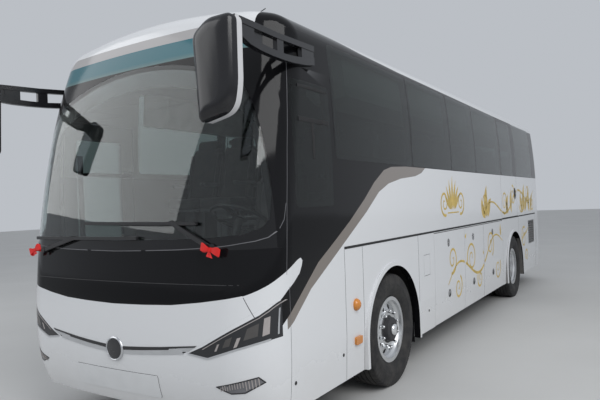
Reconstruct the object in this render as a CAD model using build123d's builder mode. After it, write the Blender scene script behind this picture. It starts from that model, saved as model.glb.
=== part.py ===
from build123d import *
import os
from math import atan2, cos, pi, radians, sin, sqrt

os.makedirs("parts", exist_ok=True)

# Two-axle touring coach, full size, in millimetres.
# +Y runs to the rear, +X to the driver's side, +Z up, floor at Z = 0.

# Driving dimensions
body_length = 9960
wheelbase = 5250
front_overhang = 2170
mirror_reach = 280        # how far the mirrors stand ahead of the nose
wall = 50                 # thickness of every body panel
glass = 12                # thickness of every pane
fit = 0.3                 # gap between pieces that seat on each other
seam = 8                  # gap round every door and lid
hinge_out = 12            # how far a hinge line stands outside the skin
far = 2000                # beyond the body, across the coach

# Where things lie along the coach
nose_y = -(body_length + mirror_reach) / 2 + mirror_reach
tail_y = nose_y + body_length
front_axle_y = nose_y + front_overhang
rear_axle_y = front_axle_y + wheelbase
front_seam_y = front_axle_y - 1710     # nose panels meet the side walls
pillar_y = front_axle_y - 1850         # windscreen's side edge
rear_seam_y = tail_y - 530             # side walls meet the rear wall
cab_seam_y = {1: front_axle_y - 1048, -1: front_axle_y - 842}   # cab sides meet the long walls

# Heights
skirt_z = 306
lamp_strip_z = 749
deck_z = 1345             # top of the passenger floor, also the moulding's line
screen_z = 1432           # lower edge of the windscreen
waist_z = 2043            # lower edge of the window band
band_top_z = 2970         # upper edge of the window band
eave_seam_z = 2985        # side walls meet the roof
header_z = 3058           # upper edge of the windscreen
crown_z = 3210            # top of the roof

half_width = 1275
skirt_profile = [(skirt_z, 1250), (650, 1268), (1150, half_width)]    # height, half width

# Body surface: height, half width, nose set-back, tail set-back
body_sections = [
    (*skirt_profile[0], 90, 60),
    (*skirt_profile[1], 0, 0),
    (*skirt_profile[2], 4, 5),
    (1430, half_width, 30, 15),
    (waist_z, half_width, 128, 45),
    (2650, 1252, 270, 110),
    (3060, 1219, 405, 175),
    (3330, 1192, 505, 230),
]
nose_crown = 7650         # plan radius of the nose
nose_corner = 370         # plan radius of its corners
tail_crown = 9000
tail_corner = 260
roof_crown = 6000         # cross-section radius of the roof
eave = 220                # radius of the roof's long edges
brow = 150                # radius of the roof's front edge

# Wheels
tyre_radius = 520
tyre_width = 295
rim_radius = 302
rim_half_width = 113
rim_face_x = 1224         # outer plane of the outer rims
wheel_x = rim_face_x - rim_half_width
dual_spacing = 338
axle_z = tyre_radius - 8  # the tyre's foot is pressed flat by 8 mm
arch_radius = 592
arch_lip = 42
liner_radius = 645
liner_wall = 12
kingpin_x = 885
kingpin_radius = 22
kingpin_fit = 0.3
hub_fit = 0.3

# Window panes: start and end measured from the front axle, then height range
band = (waist_z + 14, band_top_z)
pane_frame = 45           # how far a pane laps its frame all round
driver_pane = (-1640, -1100, 1690, 2600)
rear_panes = [
    (620, 1884, *band),
    (1920, 2984, *band),
    (3020, 4384, *band),
    (5606, 7010, *band),
]
left_panes = [(-1030, 584, *band)] + rear_panes
right_panes = [(-810, 584, *band)] + rear_panes + [(4420, 5570, *band)]

# Doors, measured from the front axle
hold_seams = [1155, 2318, 3250, 4400]      # luggage doors lie between these
hold_door_top = deck_z - 19
passenger_door = (-1668, -850, 356, 2560)
door_pane = (-1568, -950, 1190, 2450)
emergency_door = (4420, 5570, deck_z + 22, band_top_z)
emergency_pane = (4500, 5330, waist_z + 14, band_top_z - 45)
fuel_flap = (820, 1000, 905, 1120)
engine_lid_half = 900
engine_lid = (560, 1480)


def corner_arc(half, crown, corner):
    """Start, middle and end of the corner arc, from the middle of the face."""
    centre_x = half - corner
    centre_y = crown - sqrt((crown - corner) ** 2 - centre_x**2)
    turn = atan2(centre_x, crown - centre_y)
    middle = (turn + pi / 2) / 2
    return (
        (crown * sin(turn), crown - crown * cos(turn)),
        (centre_x + corner * sin(middle), centre_y - corner * cos(middle)),
        (half, centre_y),
    )


def plan_section(height, half, nose_set, tail_set, inset):
    """Outline of the body in plan at one height, moved in by inset."""
    half = half - inset
    nose = nose_y + nose_set + inset
    tail = tail_y - tail_set - inset
    n1, n2, n3 = corner_arc(half, nose_crown - inset, nose_corner - inset)
    t1, t2, t3 = corner_arc(half, tail_crown - inset, tail_corner - inset)
    with BuildSketch(Plane.XY.offset(height)) as section:
        with BuildLine():
            ThreePointArc((-n1[0], nose + n1[1]), (0, nose), (n1[0], nose + n1[1]))
            ThreePointArc((n1[0], nose + n1[1]), (n2[0], nose + n2[1]), (half, nose + n3[1]))
            Line((half, nose + n3[1]), (half, tail - t3[1]))
            ThreePointArc((half, tail - t3[1]), (t2[0], tail - t2[1]), (t1[0], tail - t1[1]))
            ThreePointArc((t1[0], tail - t1[1]), (0, tail), (-t1[0], tail - t1[1]))
            ThreePointArc((-t1[0], tail - t1[1]), (-t2[0], tail - t2[1]), (-half, tail - t3[1]))
            Line((-half, tail - t3[1]), (-half, nose + n3[1]))
            ThreePointArc((-half, nose + n3[1]), (-n2[0], nose + n2[1]), (-n1[0], nose + n1[1]))
        make_face()
    return section.sketch


def dome(inset):
    """Cross-section of the roof, wider than the body below it."""
    low, low_half = body_sections[-3][:2]
    shoulder = 1206 - inset
    rise = crown_z - inset - roof_crown + sqrt(roof_crown**2 - shoulder**2)
    edge = low_half - inset + 2
    side = half_width + 200
    with BuildSketch(Plane.XZ) as outline:
        with BuildLine():
            Polyline((-edge, low), (-side, low), (-side, 0), (side, 0), (side, low), (edge, low),
                     (shoulder, rise))
            ThreePointArc((shoulder, rise), (0, crown_z - inset), (-shoulder, rise))
            Line((-shoulder, rise), (-edge, low))
        make_face()
        fillet([v for v in outline.vertices() if v.Y > low + 100], radius=eave - inset)
    return outline.sketch


def envelope(inset):
    """The whole body as one solid, moved in by inset."""
    with BuildPart() as body:
        loft(sections=[plan_section(*row, inset) for row in body_sections])
        add(Pos(0, nose_y - 10, 0) * dome(inset))
        extrude(amount=body_length + 20, dir=(0, 1, 0), mode=Mode.INTERSECT)
        front = [e for e in body.edges() if e.bounding_box().min.Z > body_sections[-3][0] + 50
                 and e.bounding_box().max.Y < nose_y + 1300]
        fillet(front, radius=brow - inset)
    return body.part


def straight_section(inset):
    """Cross-section of the straight middle of the body, moved in by inset."""
    low, high = skirt_z - 30, 3060
    lean_z, lean_half = body_sections[-3][:2]
    middle = (half_width + 3 * lean_half) / 4 + (half_width - lean_half) / 2
    with BuildSketch(Plane.XZ) as outline:
        with BuildLine():
            Polyline((0, high), (0, low), (skirt_profile[0][1] - inset, low),
                     *[(half - inset, z) for z, half in skirt_profile],
                     (half_width - inset, waist_z))
            ThreePointArc((half_width - inset, waist_z),
                          (middle - inset, (waist_z + lean_z) / 2),
                          (lean_half - inset, lean_z))
            Polyline((lean_half - inset, lean_z), (lean_half + 8 - inset, high), (0, high))
        make_face()
        add(dome(inset), mode=Mode.INTERSECT)
    return outline.sketch


def straight_wall(sign, outer, inner, y):
    """A length of straight side wall between two insets."""
    with BuildPart() as length:
        add(Pos(0, y[0], 0) * straight_section(outer))
        extrude(amount=y[1] - y[0], dir=(0, 1, 0))
        add(Pos(0, y[0], 0) * straight_section(inner))
        extrude(amount=y[1] - y[0], dir=(0, 1, 0), mode=Mode.SUBTRACT)
        add(block((half_width - 150, far), y, (skirt_z, eave_seam_z - fit)), mode=Mode.INTERSECT)
    return length.part if sign > 0 else mirror(length.part, about=Plane.YZ)


def block(x, y, z):
    """A box given by its three ranges."""
    size = (x[1] - x[0], y[1] - y[0], z[1] - z[0])
    middle = ((x[0] + x[1]) / 2, (y[0] + y[1]) / 2, (z[0] + z[1]) / 2)
    return Pos(*middle) * Box(*size, mode=Mode.PRIVATE)


def side_prism(y, z, radius, sign, grow=0):
    """A rounded window shape seen from the side, through one side wall."""
    wide = y[1] - y[0] + 2 * grow
    high = z[1] - z[0] + 2 * grow
    with BuildPart() as prism:
        with BuildSketch(Plane.YZ.offset(sign * (half_width - 250))):
            with Locations(((y[0] + y[1]) / 2, (z[0] + z[1]) / 2)):
                RectangleRounded(wide, high, radius)
        extrude(amount=sign * 400)
    return prism.part


def face_prism(points, y, grow=0):
    """A shape seen from the front, through the nose or the tail."""
    with BuildPart() as prism:
        with BuildSketch(Plane.XZ.offset(-y[0])):
            with BuildLine():
                Polyline(*points, close=True)
            make_face()
            if grow:
                offset(amount=grow, kind=Kind.INTERSECTION)
        extrude(amount=-(y[1] - y[0]))
    return prism.part


def both_sides(part):
    """The part and its mirror image across the coach."""
    return [part, mirror(part, about=Plane.YZ)]


def along(value):
    """Turns a place measured from the front axle into the coach's frame."""
    return front_axle_y + value


def save(part, name):
    part.label = name
    export_step(part, f"parts/{name}.step")


# Body surfaces, from the skin inwards
skin = envelope(0)
pane_back = envelope(glass)
rebate_back = envelope(glass + fit)
wall_back = envelope(wall)

with BuildPart() as cabin:
    add(Pos(0, nose_y, 0) * straight_section(wall + fit))
    extrude(amount=body_length, dir=(0, 1, 0))
    mirror(about=Plane.YZ)
    add(envelope(wall + fit), mode=Mode.INTERSECT)
cabin_space = cabin.part

with BuildPart() as shell:
    add(skin)
    add(wall_back, mode=Mode.SUBTRACT)

with BuildPart() as pane_shell:
    add(skin)
    add(pane_back, mode=Mode.SUBTRACT)

with BuildPart() as rebate_shell:
    add(skin)
    add(rebate_back, mode=Mode.SUBTRACT)

everywhere_x = (-far, far)
nose_zone = (nose_y - 500, front_seam_y)


# Roof
with BuildPart() as roof:
    add(shell.part)
    add(block(everywhere_x, (nose_y - 500, tail_y + 500), (eave_seam_z, crown_z + 100)),
        mode=Mode.INTERSECT)
    add(block(everywhere_x, nose_zone, (eave_seam_z - 100, header_z)), mode=Mode.SUBTRACT)
save(roof.part, "roof")


# Windscreen and the pillars beside it
with BuildPart() as windscreen:
    add(pane_shell.part)
    add(block(everywhere_x, (nose_y - 500, pillar_y), (screen_z, header_z - fit)),
        mode=Mode.INTERSECT)
save(windscreen.part, "windscreen")

with BuildPart() as front_pillars:
    add(shell.part)
    add(block(everywhere_x, (pillar_y + fit, front_seam_y - fit), (screen_z, header_z - fit)),
        mode=Mode.INTERSECT)
save(front_pillars.part, "front_pillars")


# Nose: black panel under the windscreen, white bumper below it
panel_low_z = 1050
panel_corner_z = 1280
nose_depth = (nose_y - 200, front_seam_y + 100)

with BuildPart() as panel_prism:
    with BuildSketch(Plane.XZ.offset(-nose_depth[0])):
        with BuildLine():
            ThreePointArc((-half_width - 40, panel_corner_z), (0, panel_low_z),
                          (half_width + 40, panel_corner_z))
            Polyline((half_width + 40, panel_corner_z), (half_width + 40, screen_z - fit),
                     (-half_width - 40, screen_z - fit), (-half_width - 40, panel_corner_z))
        make_face()
    extrude(amount=-(nose_depth[1] - nose_depth[0]))

with BuildPart() as front_panel:
    add(shell.part)
    add(block(everywhere_x, (nose_y - 500, front_seam_y - fit), (skirt_z, screen_z - fit)),
        mode=Mode.INTERSECT)
    add(panel_prism.part, mode=Mode.INTERSECT)
save(front_panel.part, "front_panel")

lamp_outline = [(672, 748), (849, 722), (1050, 790), (1240, 842), (1400, 880),
                (1400, 1150), (1254, 1080), (817, 822)]
fog_outline = [(893, 536), (1161, 604), (1188, 566), (1084, 505), (998, 498)]
lamp_end_y = front_axle_y - 1845
strip = [(-672, lamp_strip_z - 24), (672, lamp_strip_z - 24),
         (672, lamp_strip_z + 24), (-672, lamp_strip_z + 24)]

with BuildPart() as headlamps:
    for prism in both_sides(face_prism(lamp_outline, nose_depth)):
        add(prism)
    add(block(everywhere_x, (nose_y - 500, lamp_end_y), (skirt_z, screen_z)), mode=Mode.INTERSECT)
    add(shell.part, mode=Mode.INTERSECT)
save(headlamps.part, "headlamps")

with BuildPart() as fog_lamps:
    for prism in both_sides(face_prism(fog_outline, nose_depth)):
        add(prism)
    add(shell.part, mode=Mode.INTERSECT)
save(fog_lamps.part, "fog_lamps")

emblem_radius = 78
emblem_z = lamp_strip_z - 30


def strip_prism(grow):
    """The strip between the lamps with the round plate at its middle."""
    with BuildPart() as prism:
        with BuildSketch(Plane.XZ.offset(-nose_depth[0])):
            with BuildLine():
                Polyline(*strip, close=True)
            make_face()
            with Locations((0, emblem_z)):
                Circle(emblem_radius)
            if grow:
                offset(amount=grow)
        extrude(amount=-500)
    return prism.part


with BuildPart() as nose_strip:
    add(pane_shell.part)
    add(strip_prism(0), mode=Mode.INTERSECT)
save(nose_strip.part, "nose_strip")

with BuildPart() as nose_cuts:
    add(rebate_shell.part)
    add(strip_prism(fit), mode=Mode.INTERSECT)
    for prism in both_sides(face_prism(lamp_outline, (nose_y - 200, lamp_end_y), fit)):
        add(prism)
    for prism in both_sides(face_prism(fog_outline, nose_depth, fit)):
        add(prism)

with BuildPart() as front_bumper:
    add(shell.part)
    add(block(everywhere_x, (nose_y - 500, front_seam_y - fit), (skirt_z - 10, screen_z - fit)),
        mode=Mode.INTERSECT)
    add(panel_prism.part, mode=Mode.SUBTRACT)
    add(nose_cuts.part, mode=Mode.SUBTRACT)
save(front_bumper.part, "front_bumper")


# Side walls with their window rebates, arches and doorways
def wheel_ring(y, outer, inner, x):
    """Half ring over a wheel, open below, between two places across the coach."""
    with BuildPart() as ring:
        with BuildSketch(Plane.YZ.offset(x[0])):
            with Locations((y, axle_z)):
                Circle(outer)
                Circle(inner, mode=Mode.SUBTRACT)
                with Locations((0, -outer / 2)):
                    Rectangle(3 * outer, outer, mode=Mode.SUBTRACT)
            for side in (-1, 1):
                with Locations((y + side * (outer + inner) / 2, (axle_z + skirt_z) / 2)):
                    Rectangle(outer - inner, axle_z - skirt_z)
        extrude(amount=x[1] - x[0])
    return ring.part


def wheel_cut(y, radius, x):
    """The space that an arch leaves open."""
    with BuildPart() as cut:
        with BuildSketch(Plane.YZ.offset(x[0])):
            with Locations((y, axle_z)):
                Circle(radius)
            with Locations((y, axle_z / 2)):
                Rectangle(2 * radius, axle_z)
        extrude(amount=x[1] - x[0])
    return cut.part


def pane_prism(pane, sign, grow=0):
    """A pane's shape through the side wall, from its row in the table."""
    return side_prism((along(pane[0]), along(pane[1])), pane[2:], 40, sign, grow)


def cab_layer(layer, sign, y):
    """One side of a layer of the nose, over a stretch of the coach."""
    outside = (half_width - 350, far) if sign > 0 else (-far, 350 - half_width)
    with BuildPart() as side_layer:
        add(layer)
        add(block(outside, y, (skirt_z - 10, eave_seam_z - fit)), mode=Mode.INTERSECT)
    return side_layer.part


def side_wall(sign, wall_layer, rebate_layer, panes, doorways, axles):
    """A side wall from its layers; sign is +1 for the driver's side."""
    outside = (0, far) if sign > 0 else (-far, 0)
    lips = sorted((sign * (half_width - wall), sign * (half_width + 14)))
    through = sorted((sign * 1100, sign * 1400))
    with BuildPart() as side:
        add(wall_layer)
        cuts = [wheel_cut(y, arch_radius + arch_lip, through) for y in axles]
        cuts += [pane_prism(pane, sign, -pane_frame) for pane in panes]
        cuts += [block(outside, (along(y0), along(y1)), (z0, z1)) for y0, y1, z0, z1 in doorways]
        cuts += [rebate_layer & pane_prism(pane, sign, fit) for pane in panes]
        add(cuts, mode=Mode.SUBTRACT)
        if axles:
            add([wheel_ring(y, arch_radius + arch_lip, arch_radius, lips) for y in axles])
    return side.part


def pane_set(layer, sign, panes):
    """Panes of one side as separate solids."""
    return [layer & pane_prism(pane, sign) for pane in panes]


def grown(opening, gap):
    """A doorway: the door's ranges moved out by the gap."""
    y0, y1, z0, z1 = opening
    return (y0 - gap, y1 + gap, z0 - gap, z1 + gap)


def door_leaf(layers, sign, opening, pane=None):
    """A leaf cut from the side's layers, with a rebated window if it has one."""
    y0, y1, z0, z1 = opening
    x = sorted((sign * (half_width - 200), sign * far))
    with BuildPart() as leaf:
        add(layers[0])
        add(block(x, (along(y0), along(y1)), (z0, z1)), mode=Mode.INTERSECT)
        if pane:
            rebate = layers[2] & pane_prism(pane, sign, fit)
            add([rebate, pane_prism(pane, sign, -pane_frame)], mode=Mode.SUBTRACT)
    return leaf.part


hold_way = (hold_seams[0], hold_seams[-1], skirt_z - 20, hold_door_top + seam)
louvre = (6480, 7040, 800, 1236)
side_ways = {
    1: [hold_way, grown(emergency_door, seam), louvre],
    -1: [hold_way, louvre],
}
door_head = passenger_door[3] + seam
head_seam = (nose_y - front_axle_y, passenger_door[0] - seam, door_head, door_head + fit)
cab_ways = {1: [], -1: [grown(passenger_door, seam), head_seam]}
side_panes = {1: left_panes, -1: right_panes}
cab_panes = {1: [driver_pane], -1: []}
pane_solids = []
straight = {}
cab = {}
for sign, side_name in ((1, "left"), (-1, "right")):
    y = (cab_seam_y[sign], rear_seam_y)
    straight[sign] = [straight_wall(sign, *layer, y)
                      for layer in ((0, wall), (0, glass), (0, glass + fit))]
    side = side_wall(sign, straight[sign][0], straight[sign][2], side_panes[sign],
                     side_ways[sign], (front_axle_y, rear_axle_y))
    if sign > 0:
        side -= door_leaf([straight[1][2]], 1, grown(fuel_flap, seam / 2))
    save(side, f"side_wall_{side_name}")
    pane_solids += pane_set(straight[sign][1], sign, side_panes[sign])

    y = (front_seam_y, cab_seam_y[sign] - fit)
    cab[sign] = [cab_layer(layer, sign, y)
                 for layer in (shell.part, pane_shell.part, rebate_shell.part)]
    side = side_wall(sign, cab[sign][0], cab[sign][2], cab_panes[sign], cab_ways[sign], ())
    save(side, f"cab_side_{side_name}")
    pane_solids += pane_set(cab[sign][1], sign, cab_panes[sign])


# Tail: wall with the rear window, the engine lid's opening and the lamps
rear_pane = [(-960, 2095), (960, 2095), (910, 2860), (-910, 2860)]
tail_depth = (rear_seam_y - 100, tail_y + 200)
tail_lamp = [(1010, 760), (1180, 740), (1190, 1330), (1080, 1330)]
lid_outline = [(-engine_lid_half, engine_lid[0]), (engine_lid_half, engine_lid[0]),
               (engine_lid_half, engine_lid[1]), (-engine_lid_half, engine_lid[1])]

with BuildPart() as rear_glass:
    add(face_prism(rear_pane, tail_depth))
    add(pane_shell.part, mode=Mode.INTERSECT)

with BuildPart() as rear_rebate:
    add(face_prism(rear_pane, tail_depth, fit))
    add(rebate_shell.part, mode=Mode.INTERSECT)

with BuildPart() as rear_wall:
    add(shell.part)
    add(block(everywhere_x, (rear_seam_y + fit, tail_y + 200), (skirt_z - 10, eave_seam_z - fit)),
        mode=Mode.INTERSECT)
    add(rear_rebate.part, mode=Mode.SUBTRACT)
    add(face_prism(rear_pane, tail_depth, -pane_frame), mode=Mode.SUBTRACT)
    for prism in both_sides(face_prism(tail_lamp, tail_depth, fit)):
        add(prism, mode=Mode.SUBTRACT)
    add(face_prism(lid_outline, tail_depth, seam), mode=Mode.SUBTRACT)
save(rear_wall.part, "rear_wall")

with BuildPart() as tail_lamps:
    for prism in both_sides(face_prism(tail_lamp, tail_depth)):
        add(prism)
    add(shell.part, mode=Mode.INTERSECT)
save(tail_lamps.part, "tail_lamps")

with BuildPart() as engine_door:
    add(face_prism(lid_outline, tail_depth))
    add(shell.part, mode=Mode.INTERSECT)
save(engine_door.part, "engine_door")

with BuildPart() as window_panes:
    add(pane_solids + [rear_glass.part])
save(window_panes.part, "window_panes")


# Doors in the side walls
catch_radius = 27
catch_depth = 9
catch_z = (600, 1192)
catch_back = 75           # how far a catch lies ahead of the middle of its door
for sign, side_name in ((1, "left"), (-1, "right")):
    for number in range(3):
        y0 = hold_seams[number] + seam / 2
        y1 = hold_seams[number + 1] - seam / 2
        leaf = door_leaf(straight[sign], sign, (y0, y1, skirt_z + 4, hold_door_top))
        catch_y = along((y0 + y1) / 2 - catch_back)
        with BuildPart() as hold_door:
            add(leaf)
            with BuildSketch(Plane.YZ.offset(sign * (half_width - catch_depth))):
                with Locations(*[(catch_y, z) for z in catch_z]):
                    Circle(catch_radius)
                    Circle(catch_radius * 0.62, mode=Mode.SUBTRACT)
            extrude(amount=sign * 60, mode=Mode.SUBTRACT)
        save(hold_door.part, f"luggage_door_{side_name}_{number + 1}")

save(door_leaf([straight[1][1]], 1, fuel_flap), "fuel_flap")
save(door_leaf(straight[1], 1, emergency_door, emergency_pane), "emergency_door")
save(door_leaf(cab[-1], -1, passenger_door, door_pane), "passenger_door")
save(pane_set(straight[1][1], 1, [emergency_pane])[0], "emergency_door_glass")
save(pane_set(cab[-1][1], -1, [door_pane])[0], "passenger_door_glass")


# Louvred grilles over the engine bay's sides
slat_count = 9
louvre_rim = 22
with BuildPart() as engine_grilles:
    y = (along(louvre[0]) + fit, along(louvre[1]) - fit)
    z = (louvre[2] + fit, louvre[3] - fit)
    for sign in (1, -1):
        with BuildSketch(Plane.YZ.offset(sign * (half_width - wall + 5))):
            with Locations(((y[0] + y[1]) / 2, (z[0] + z[1]) / 2)):
                Rectangle(y[1] - y[0], z[1] - z[0])
                Rectangle(y[1] - y[0] - 2 * louvre_rim, z[1] - z[0] - 2 * louvre_rim,
                          mode=Mode.SUBTRACT)
        extrude(amount=sign * 40)
        pitch = (z[1] - z[0] - 2 * louvre_rim) / slat_count
        with BuildSketch(Plane.XZ.offset(-y[0] - louvre_rim / 2)):
            for slat in range(slat_count):
                base = z[0] + louvre_rim + pitch * (slat + 0.2)
                root = sign * (half_width - wall + 8)
                tip = sign * (half_width - 16)
                with BuildLine():
                    Polyline((root, base + pitch * 0.55), (tip, base), (tip, base + 7),
                             (root, base + pitch * 0.55 + 7), close=True)
                make_face()
        extrude(amount=-(y[1] - y[0] - louvre_rim))
save(engine_grilles.part, "engine_grilles")


# Floors
platform_z = 950
step_z = (380, 570, 760)
floor_plate = 45
rail_x = 430               # outer faces of the underframe's rails
step_front = along(passenger_door[0]) + 10
step_back = along(-720)
deck_end = tail_y - 80
deck_half = half_width - wall - fit
stair_x = rail_x + 12
with BuildPart() as deck:
    add(block((-deck_half, deck_half), (step_back, deck_end), (deck_z - floor_plate, deck_z)))
    add(block((-stair_x, deck_half), (nose_y + 120, step_back + floor_plate),
              (platform_z - floor_plate, platform_z)))
    add(block((-stair_x, deck_half), (step_back, step_back + floor_plate),
              (platform_z - floor_plate, deck_z)))
    for number, top in enumerate(step_z):
        inner = -deck_half + 215 * number + 30
        add(block((inner, -stair_x), (step_front, step_back), (top - floor_plate, top)))
        rise_to = step_z[number + 1] if number < len(step_z) - 1 else platform_z
        riser = inner + 215 if number < len(step_z) - 1 else -stair_x - floor_plate
        add(block((riser, riser + floor_plate), (step_front, step_back), (top - floor_plate, rise_to)))
    add(block((-deck_half + 30, -stair_x), (step_back - floor_plate, step_back + floor_plate),
              (step_z[0] - floor_plate, deck_z)))
    add(cabin_space, mode=Mode.INTERSECT)
save(deck.part, "deck")

hold_floor_z = 430
hold_front = along(hold_seams[0]) - 60
hold_back = along(hold_seams[-1]) + 60
post = 45
post_x = body_sections[0][1] - wall - seam
hold_half = body_sections[0][1] - wall - seam
with BuildPart() as luggage_hold:
    add([block((-deck_half, deck_half), (y, y + floor_plate),
               (hold_floor_z - 60, deck_z - floor_plate - fit))
         for y in (hold_front, hold_back - floor_plate)])
    add(cabin_space, mode=Mode.INTERSECT)
    add(block((-hold_half, hold_half), (hold_front, hold_back), (hold_floor_z - 60, hold_floor_z)))
    add([block((x, x + post), (along(y) - post / 2, along(y) + post / 2),
               (hold_floor_z - 60, deck_z - floor_plate - fit))
         for y in hold_seams[1:-1] for x in (-post_x, post_x - post)])
save(luggage_hold.part, "luggage_hold")


# Wheel housings
with BuildPart() as wheel_housings:
    for axle_y in (front_axle_y, rear_axle_y):
        for sign in (1, -1):
            x = sorted((sign * 560, sign * (half_width - wall - fit)))
            add(wheel_ring(axle_y, liner_radius + liner_wall, liner_radius, x))
            plate = sorted((sign * (560 - liner_wall), sign * 560))
            with BuildSketch(Plane.YZ.offset(plate[0])):
                with Locations((axle_y, axle_z)):
                    Circle(liner_radius + liner_wall)
                    with Locations((0, -liner_radius + 160)):
                        Rectangle(3 * liner_radius, 2 * liner_radius, mode=Mode.SUBTRACT)
            extrude(amount=liner_wall)
    add(cabin_space, mode=Mode.INTERSECT)
save(wheel_housings.part, "wheel_housings")


# Underframe with its rails and cross members
rail_wide = 75
rail_z = (590, 790)
cross_shares = (0.03, 0.40, 0.66, 0.97)    # where cross members lie along a pair of rails
with BuildPart() as underframe:
    for y in ((nose_y + 260, hold_front - fit), (hold_back + fit, rear_seam_y)):
        for sign in (1, -1):
            x = sorted((sign * (rail_x - rail_wide), sign * rail_x))
            add(block(x, y, rail_z))
        for share in cross_shares:
            middle = y[0] + share * (y[1] - y[0])
            add(block((-rail_x + 5, rail_x - 5), (middle - 40, middle + 40),
                      (rail_z[0] + 40, rail_z[1] - 20)))
save(underframe.part, "underframe")


# Axles
beam_z = 430
beam_half = kingpin_x
eye_radius = 58
eye_half = 60
with BuildPart() as front_axle:
    with BuildSketch(Plane.XZ.offset(-front_axle_y)):
        with BuildLine():
            Polyline((-beam_half, axle_z + 45), (-beam_half + 190, axle_z + 45),
                     (-beam_half + 330, beam_z + 45), (beam_half - 330, beam_z + 45),
                     (beam_half - 190, axle_z + 45), (beam_half, axle_z + 45),
                     (beam_half, axle_z - 45), (beam_half - 170, axle_z - 45),
                     (beam_half - 310, beam_z - 45), (-beam_half + 310, beam_z - 45),
                     (-beam_half + 170, axle_z - 45), (-beam_half, axle_z - 45), close=True)
        make_face()
    extrude(amount=45, both=True)
    with BuildSketch(Plane.XY.offset(axle_z - eye_half)):
        with Locations((-kingpin_x, front_axle_y), (kingpin_x, front_axle_y)):
            Circle(eye_radius)
    extrude(amount=2 * eye_half)
    with BuildSketch(Plane.XY.offset(axle_z - eye_half)):
        with Locations((-kingpin_x, front_axle_y), (kingpin_x, front_axle_y)):
            Circle(kingpin_radius + kingpin_fit)
    extrude(amount=2 * eye_half, mode=Mode.SUBTRACT)
    for sign in (1, -1):
        x = sorted((sign * (rail_x - rail_wide), sign * rail_x))
        add(block(x, (front_axle_y - 45, front_axle_y + 45), (beam_z, rail_z[0] - fit)))
save(front_axle.part, "front_axle")

lug = 26
lug_gap = 5
spindle_radius = 34
spindle_end = wheel_x + 55
for sign, side_name in ((1, "left"), (-1, "right")):
    with BuildPart() as knuckle:
        for z in (axle_z - eye_half - lug_gap - lug, axle_z + eye_half + lug_gap):
            with BuildSketch(Plane.XY.offset(z)):
                with Locations((sign * kingpin_x, front_axle_y)):
                    Circle(eye_radius)
                with Locations((sign * (kingpin_x + 48), front_axle_y)):
                    Rectangle(96, 2 * eye_radius)
            extrude(amount=lug)
        with BuildSketch(Plane.XY.offset(axle_z - eye_half - lug_gap - lug)):
            with Locations((sign * kingpin_x, front_axle_y)):
                Circle(kingpin_radius)
        extrude(amount=2 * (eye_half + lug_gap + lug))
        add(block(sorted((sign * (kingpin_x + eye_radius + 10), sign * (kingpin_x + 96))),
                  (front_axle_y - eye_radius, front_axle_y + eye_radius),
                  (axle_z - eye_half - lug_gap - lug, axle_z + eye_half + lug_gap + lug)))
        with BuildSketch(Plane.YZ.offset(sign * (kingpin_x + 90))):
            with Locations((front_axle_y, axle_z)):
                Circle(spindle_radius)
        extrude(amount=sign * (spindle_end - kingpin_x - 90))
        with BuildSketch(Plane.XY.offset(axle_z - eye_half - lug_gap - lug)):
            with BuildLine():
                Polyline((sign * (kingpin_x - 30), front_axle_y + 20),
                         (sign * (kingpin_x + 30), front_axle_y + 20),
                         (sign * (kingpin_x - 20), front_axle_y + 235),
                         (sign * (kingpin_x - 60), front_axle_y + 235), close=True)
            make_face()
        extrude(amount=lug)
    save(knuckle.part, f"knuckle_{side_name}")

differential_radius = 215
tube_radius = 75
rear_hub_x = wheel_x - dual_spacing - 150
with BuildPart() as rear_axle:
    with BuildSketch(Plane.YZ.offset(-(wheel_x - 40))):
        with Locations((rear_axle_y, axle_z)):
            Circle(tube_radius - 20)
    extrude(amount=2 * (wheel_x - 40))
    with BuildSketch(Plane.YZ.offset(-rear_hub_x)):
        with Locations((rear_axle_y, axle_z)):
            Circle(tube_radius)
    extrude(amount=2 * rear_hub_x)
    with Locations((0, rear_axle_y, axle_z)):
        Sphere(differential_radius)
    for sign in (1, -1):
        x = sorted((sign * (rail_x - rail_wide), sign * rail_x))
        add(block(x, (rear_axle_y - 50, rear_axle_y + 50), (axle_z, rail_z[0] - fit)))
save(rear_axle.part, "rear_axle")


# Wheels
hub_radius = 88
disc_plate = 12           # thickness of a wheel's disc


def tyre(x):
    """One tyre as a revolved section with its middle at x."""
    half = tyre_width / 2
    bead = rim_half_width - 6 - fit
    inner = rim_radius - 12
    tread_half = 122
    with BuildPart() as ring:
        with BuildSketch(Plane.XY):
            with BuildLine():
                Line((x - bead, inner), (x - bead, rim_radius + fit))
                Line((x - bead, rim_radius + fit), (x - bead - 10, rim_radius + 12))
                ThreePointArc((x - bead - 10, rim_radius + 12), (x - half, 408),
                              (x - tread_half - 14, tyre_radius - 22))
                Line((x - tread_half - 14, tyre_radius - 22), (x - tread_half, tyre_radius - 8))
                ThreePointArc((x - tread_half, tyre_radius - 8), (x, tyre_radius),
                              (x + tread_half, tyre_radius - 8))
                Line((x + tread_half, tyre_radius - 8), (x + tread_half + 14, tyre_radius - 22))
                ThreePointArc((x + tread_half + 14, tyre_radius - 22), (x + half, 408),
                              (x + bead + 10, rim_radius + 12))
                Line((x + bead + 10, rim_radius + 12), (x + bead, rim_radius + fit))
                Line((x + bead, rim_radius + fit), (x + bead, inner))
                Line((x + bead, inner), (x - bead, inner))
            make_face()
        revolve(axis=Axis.X)
    return ring.part


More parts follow.
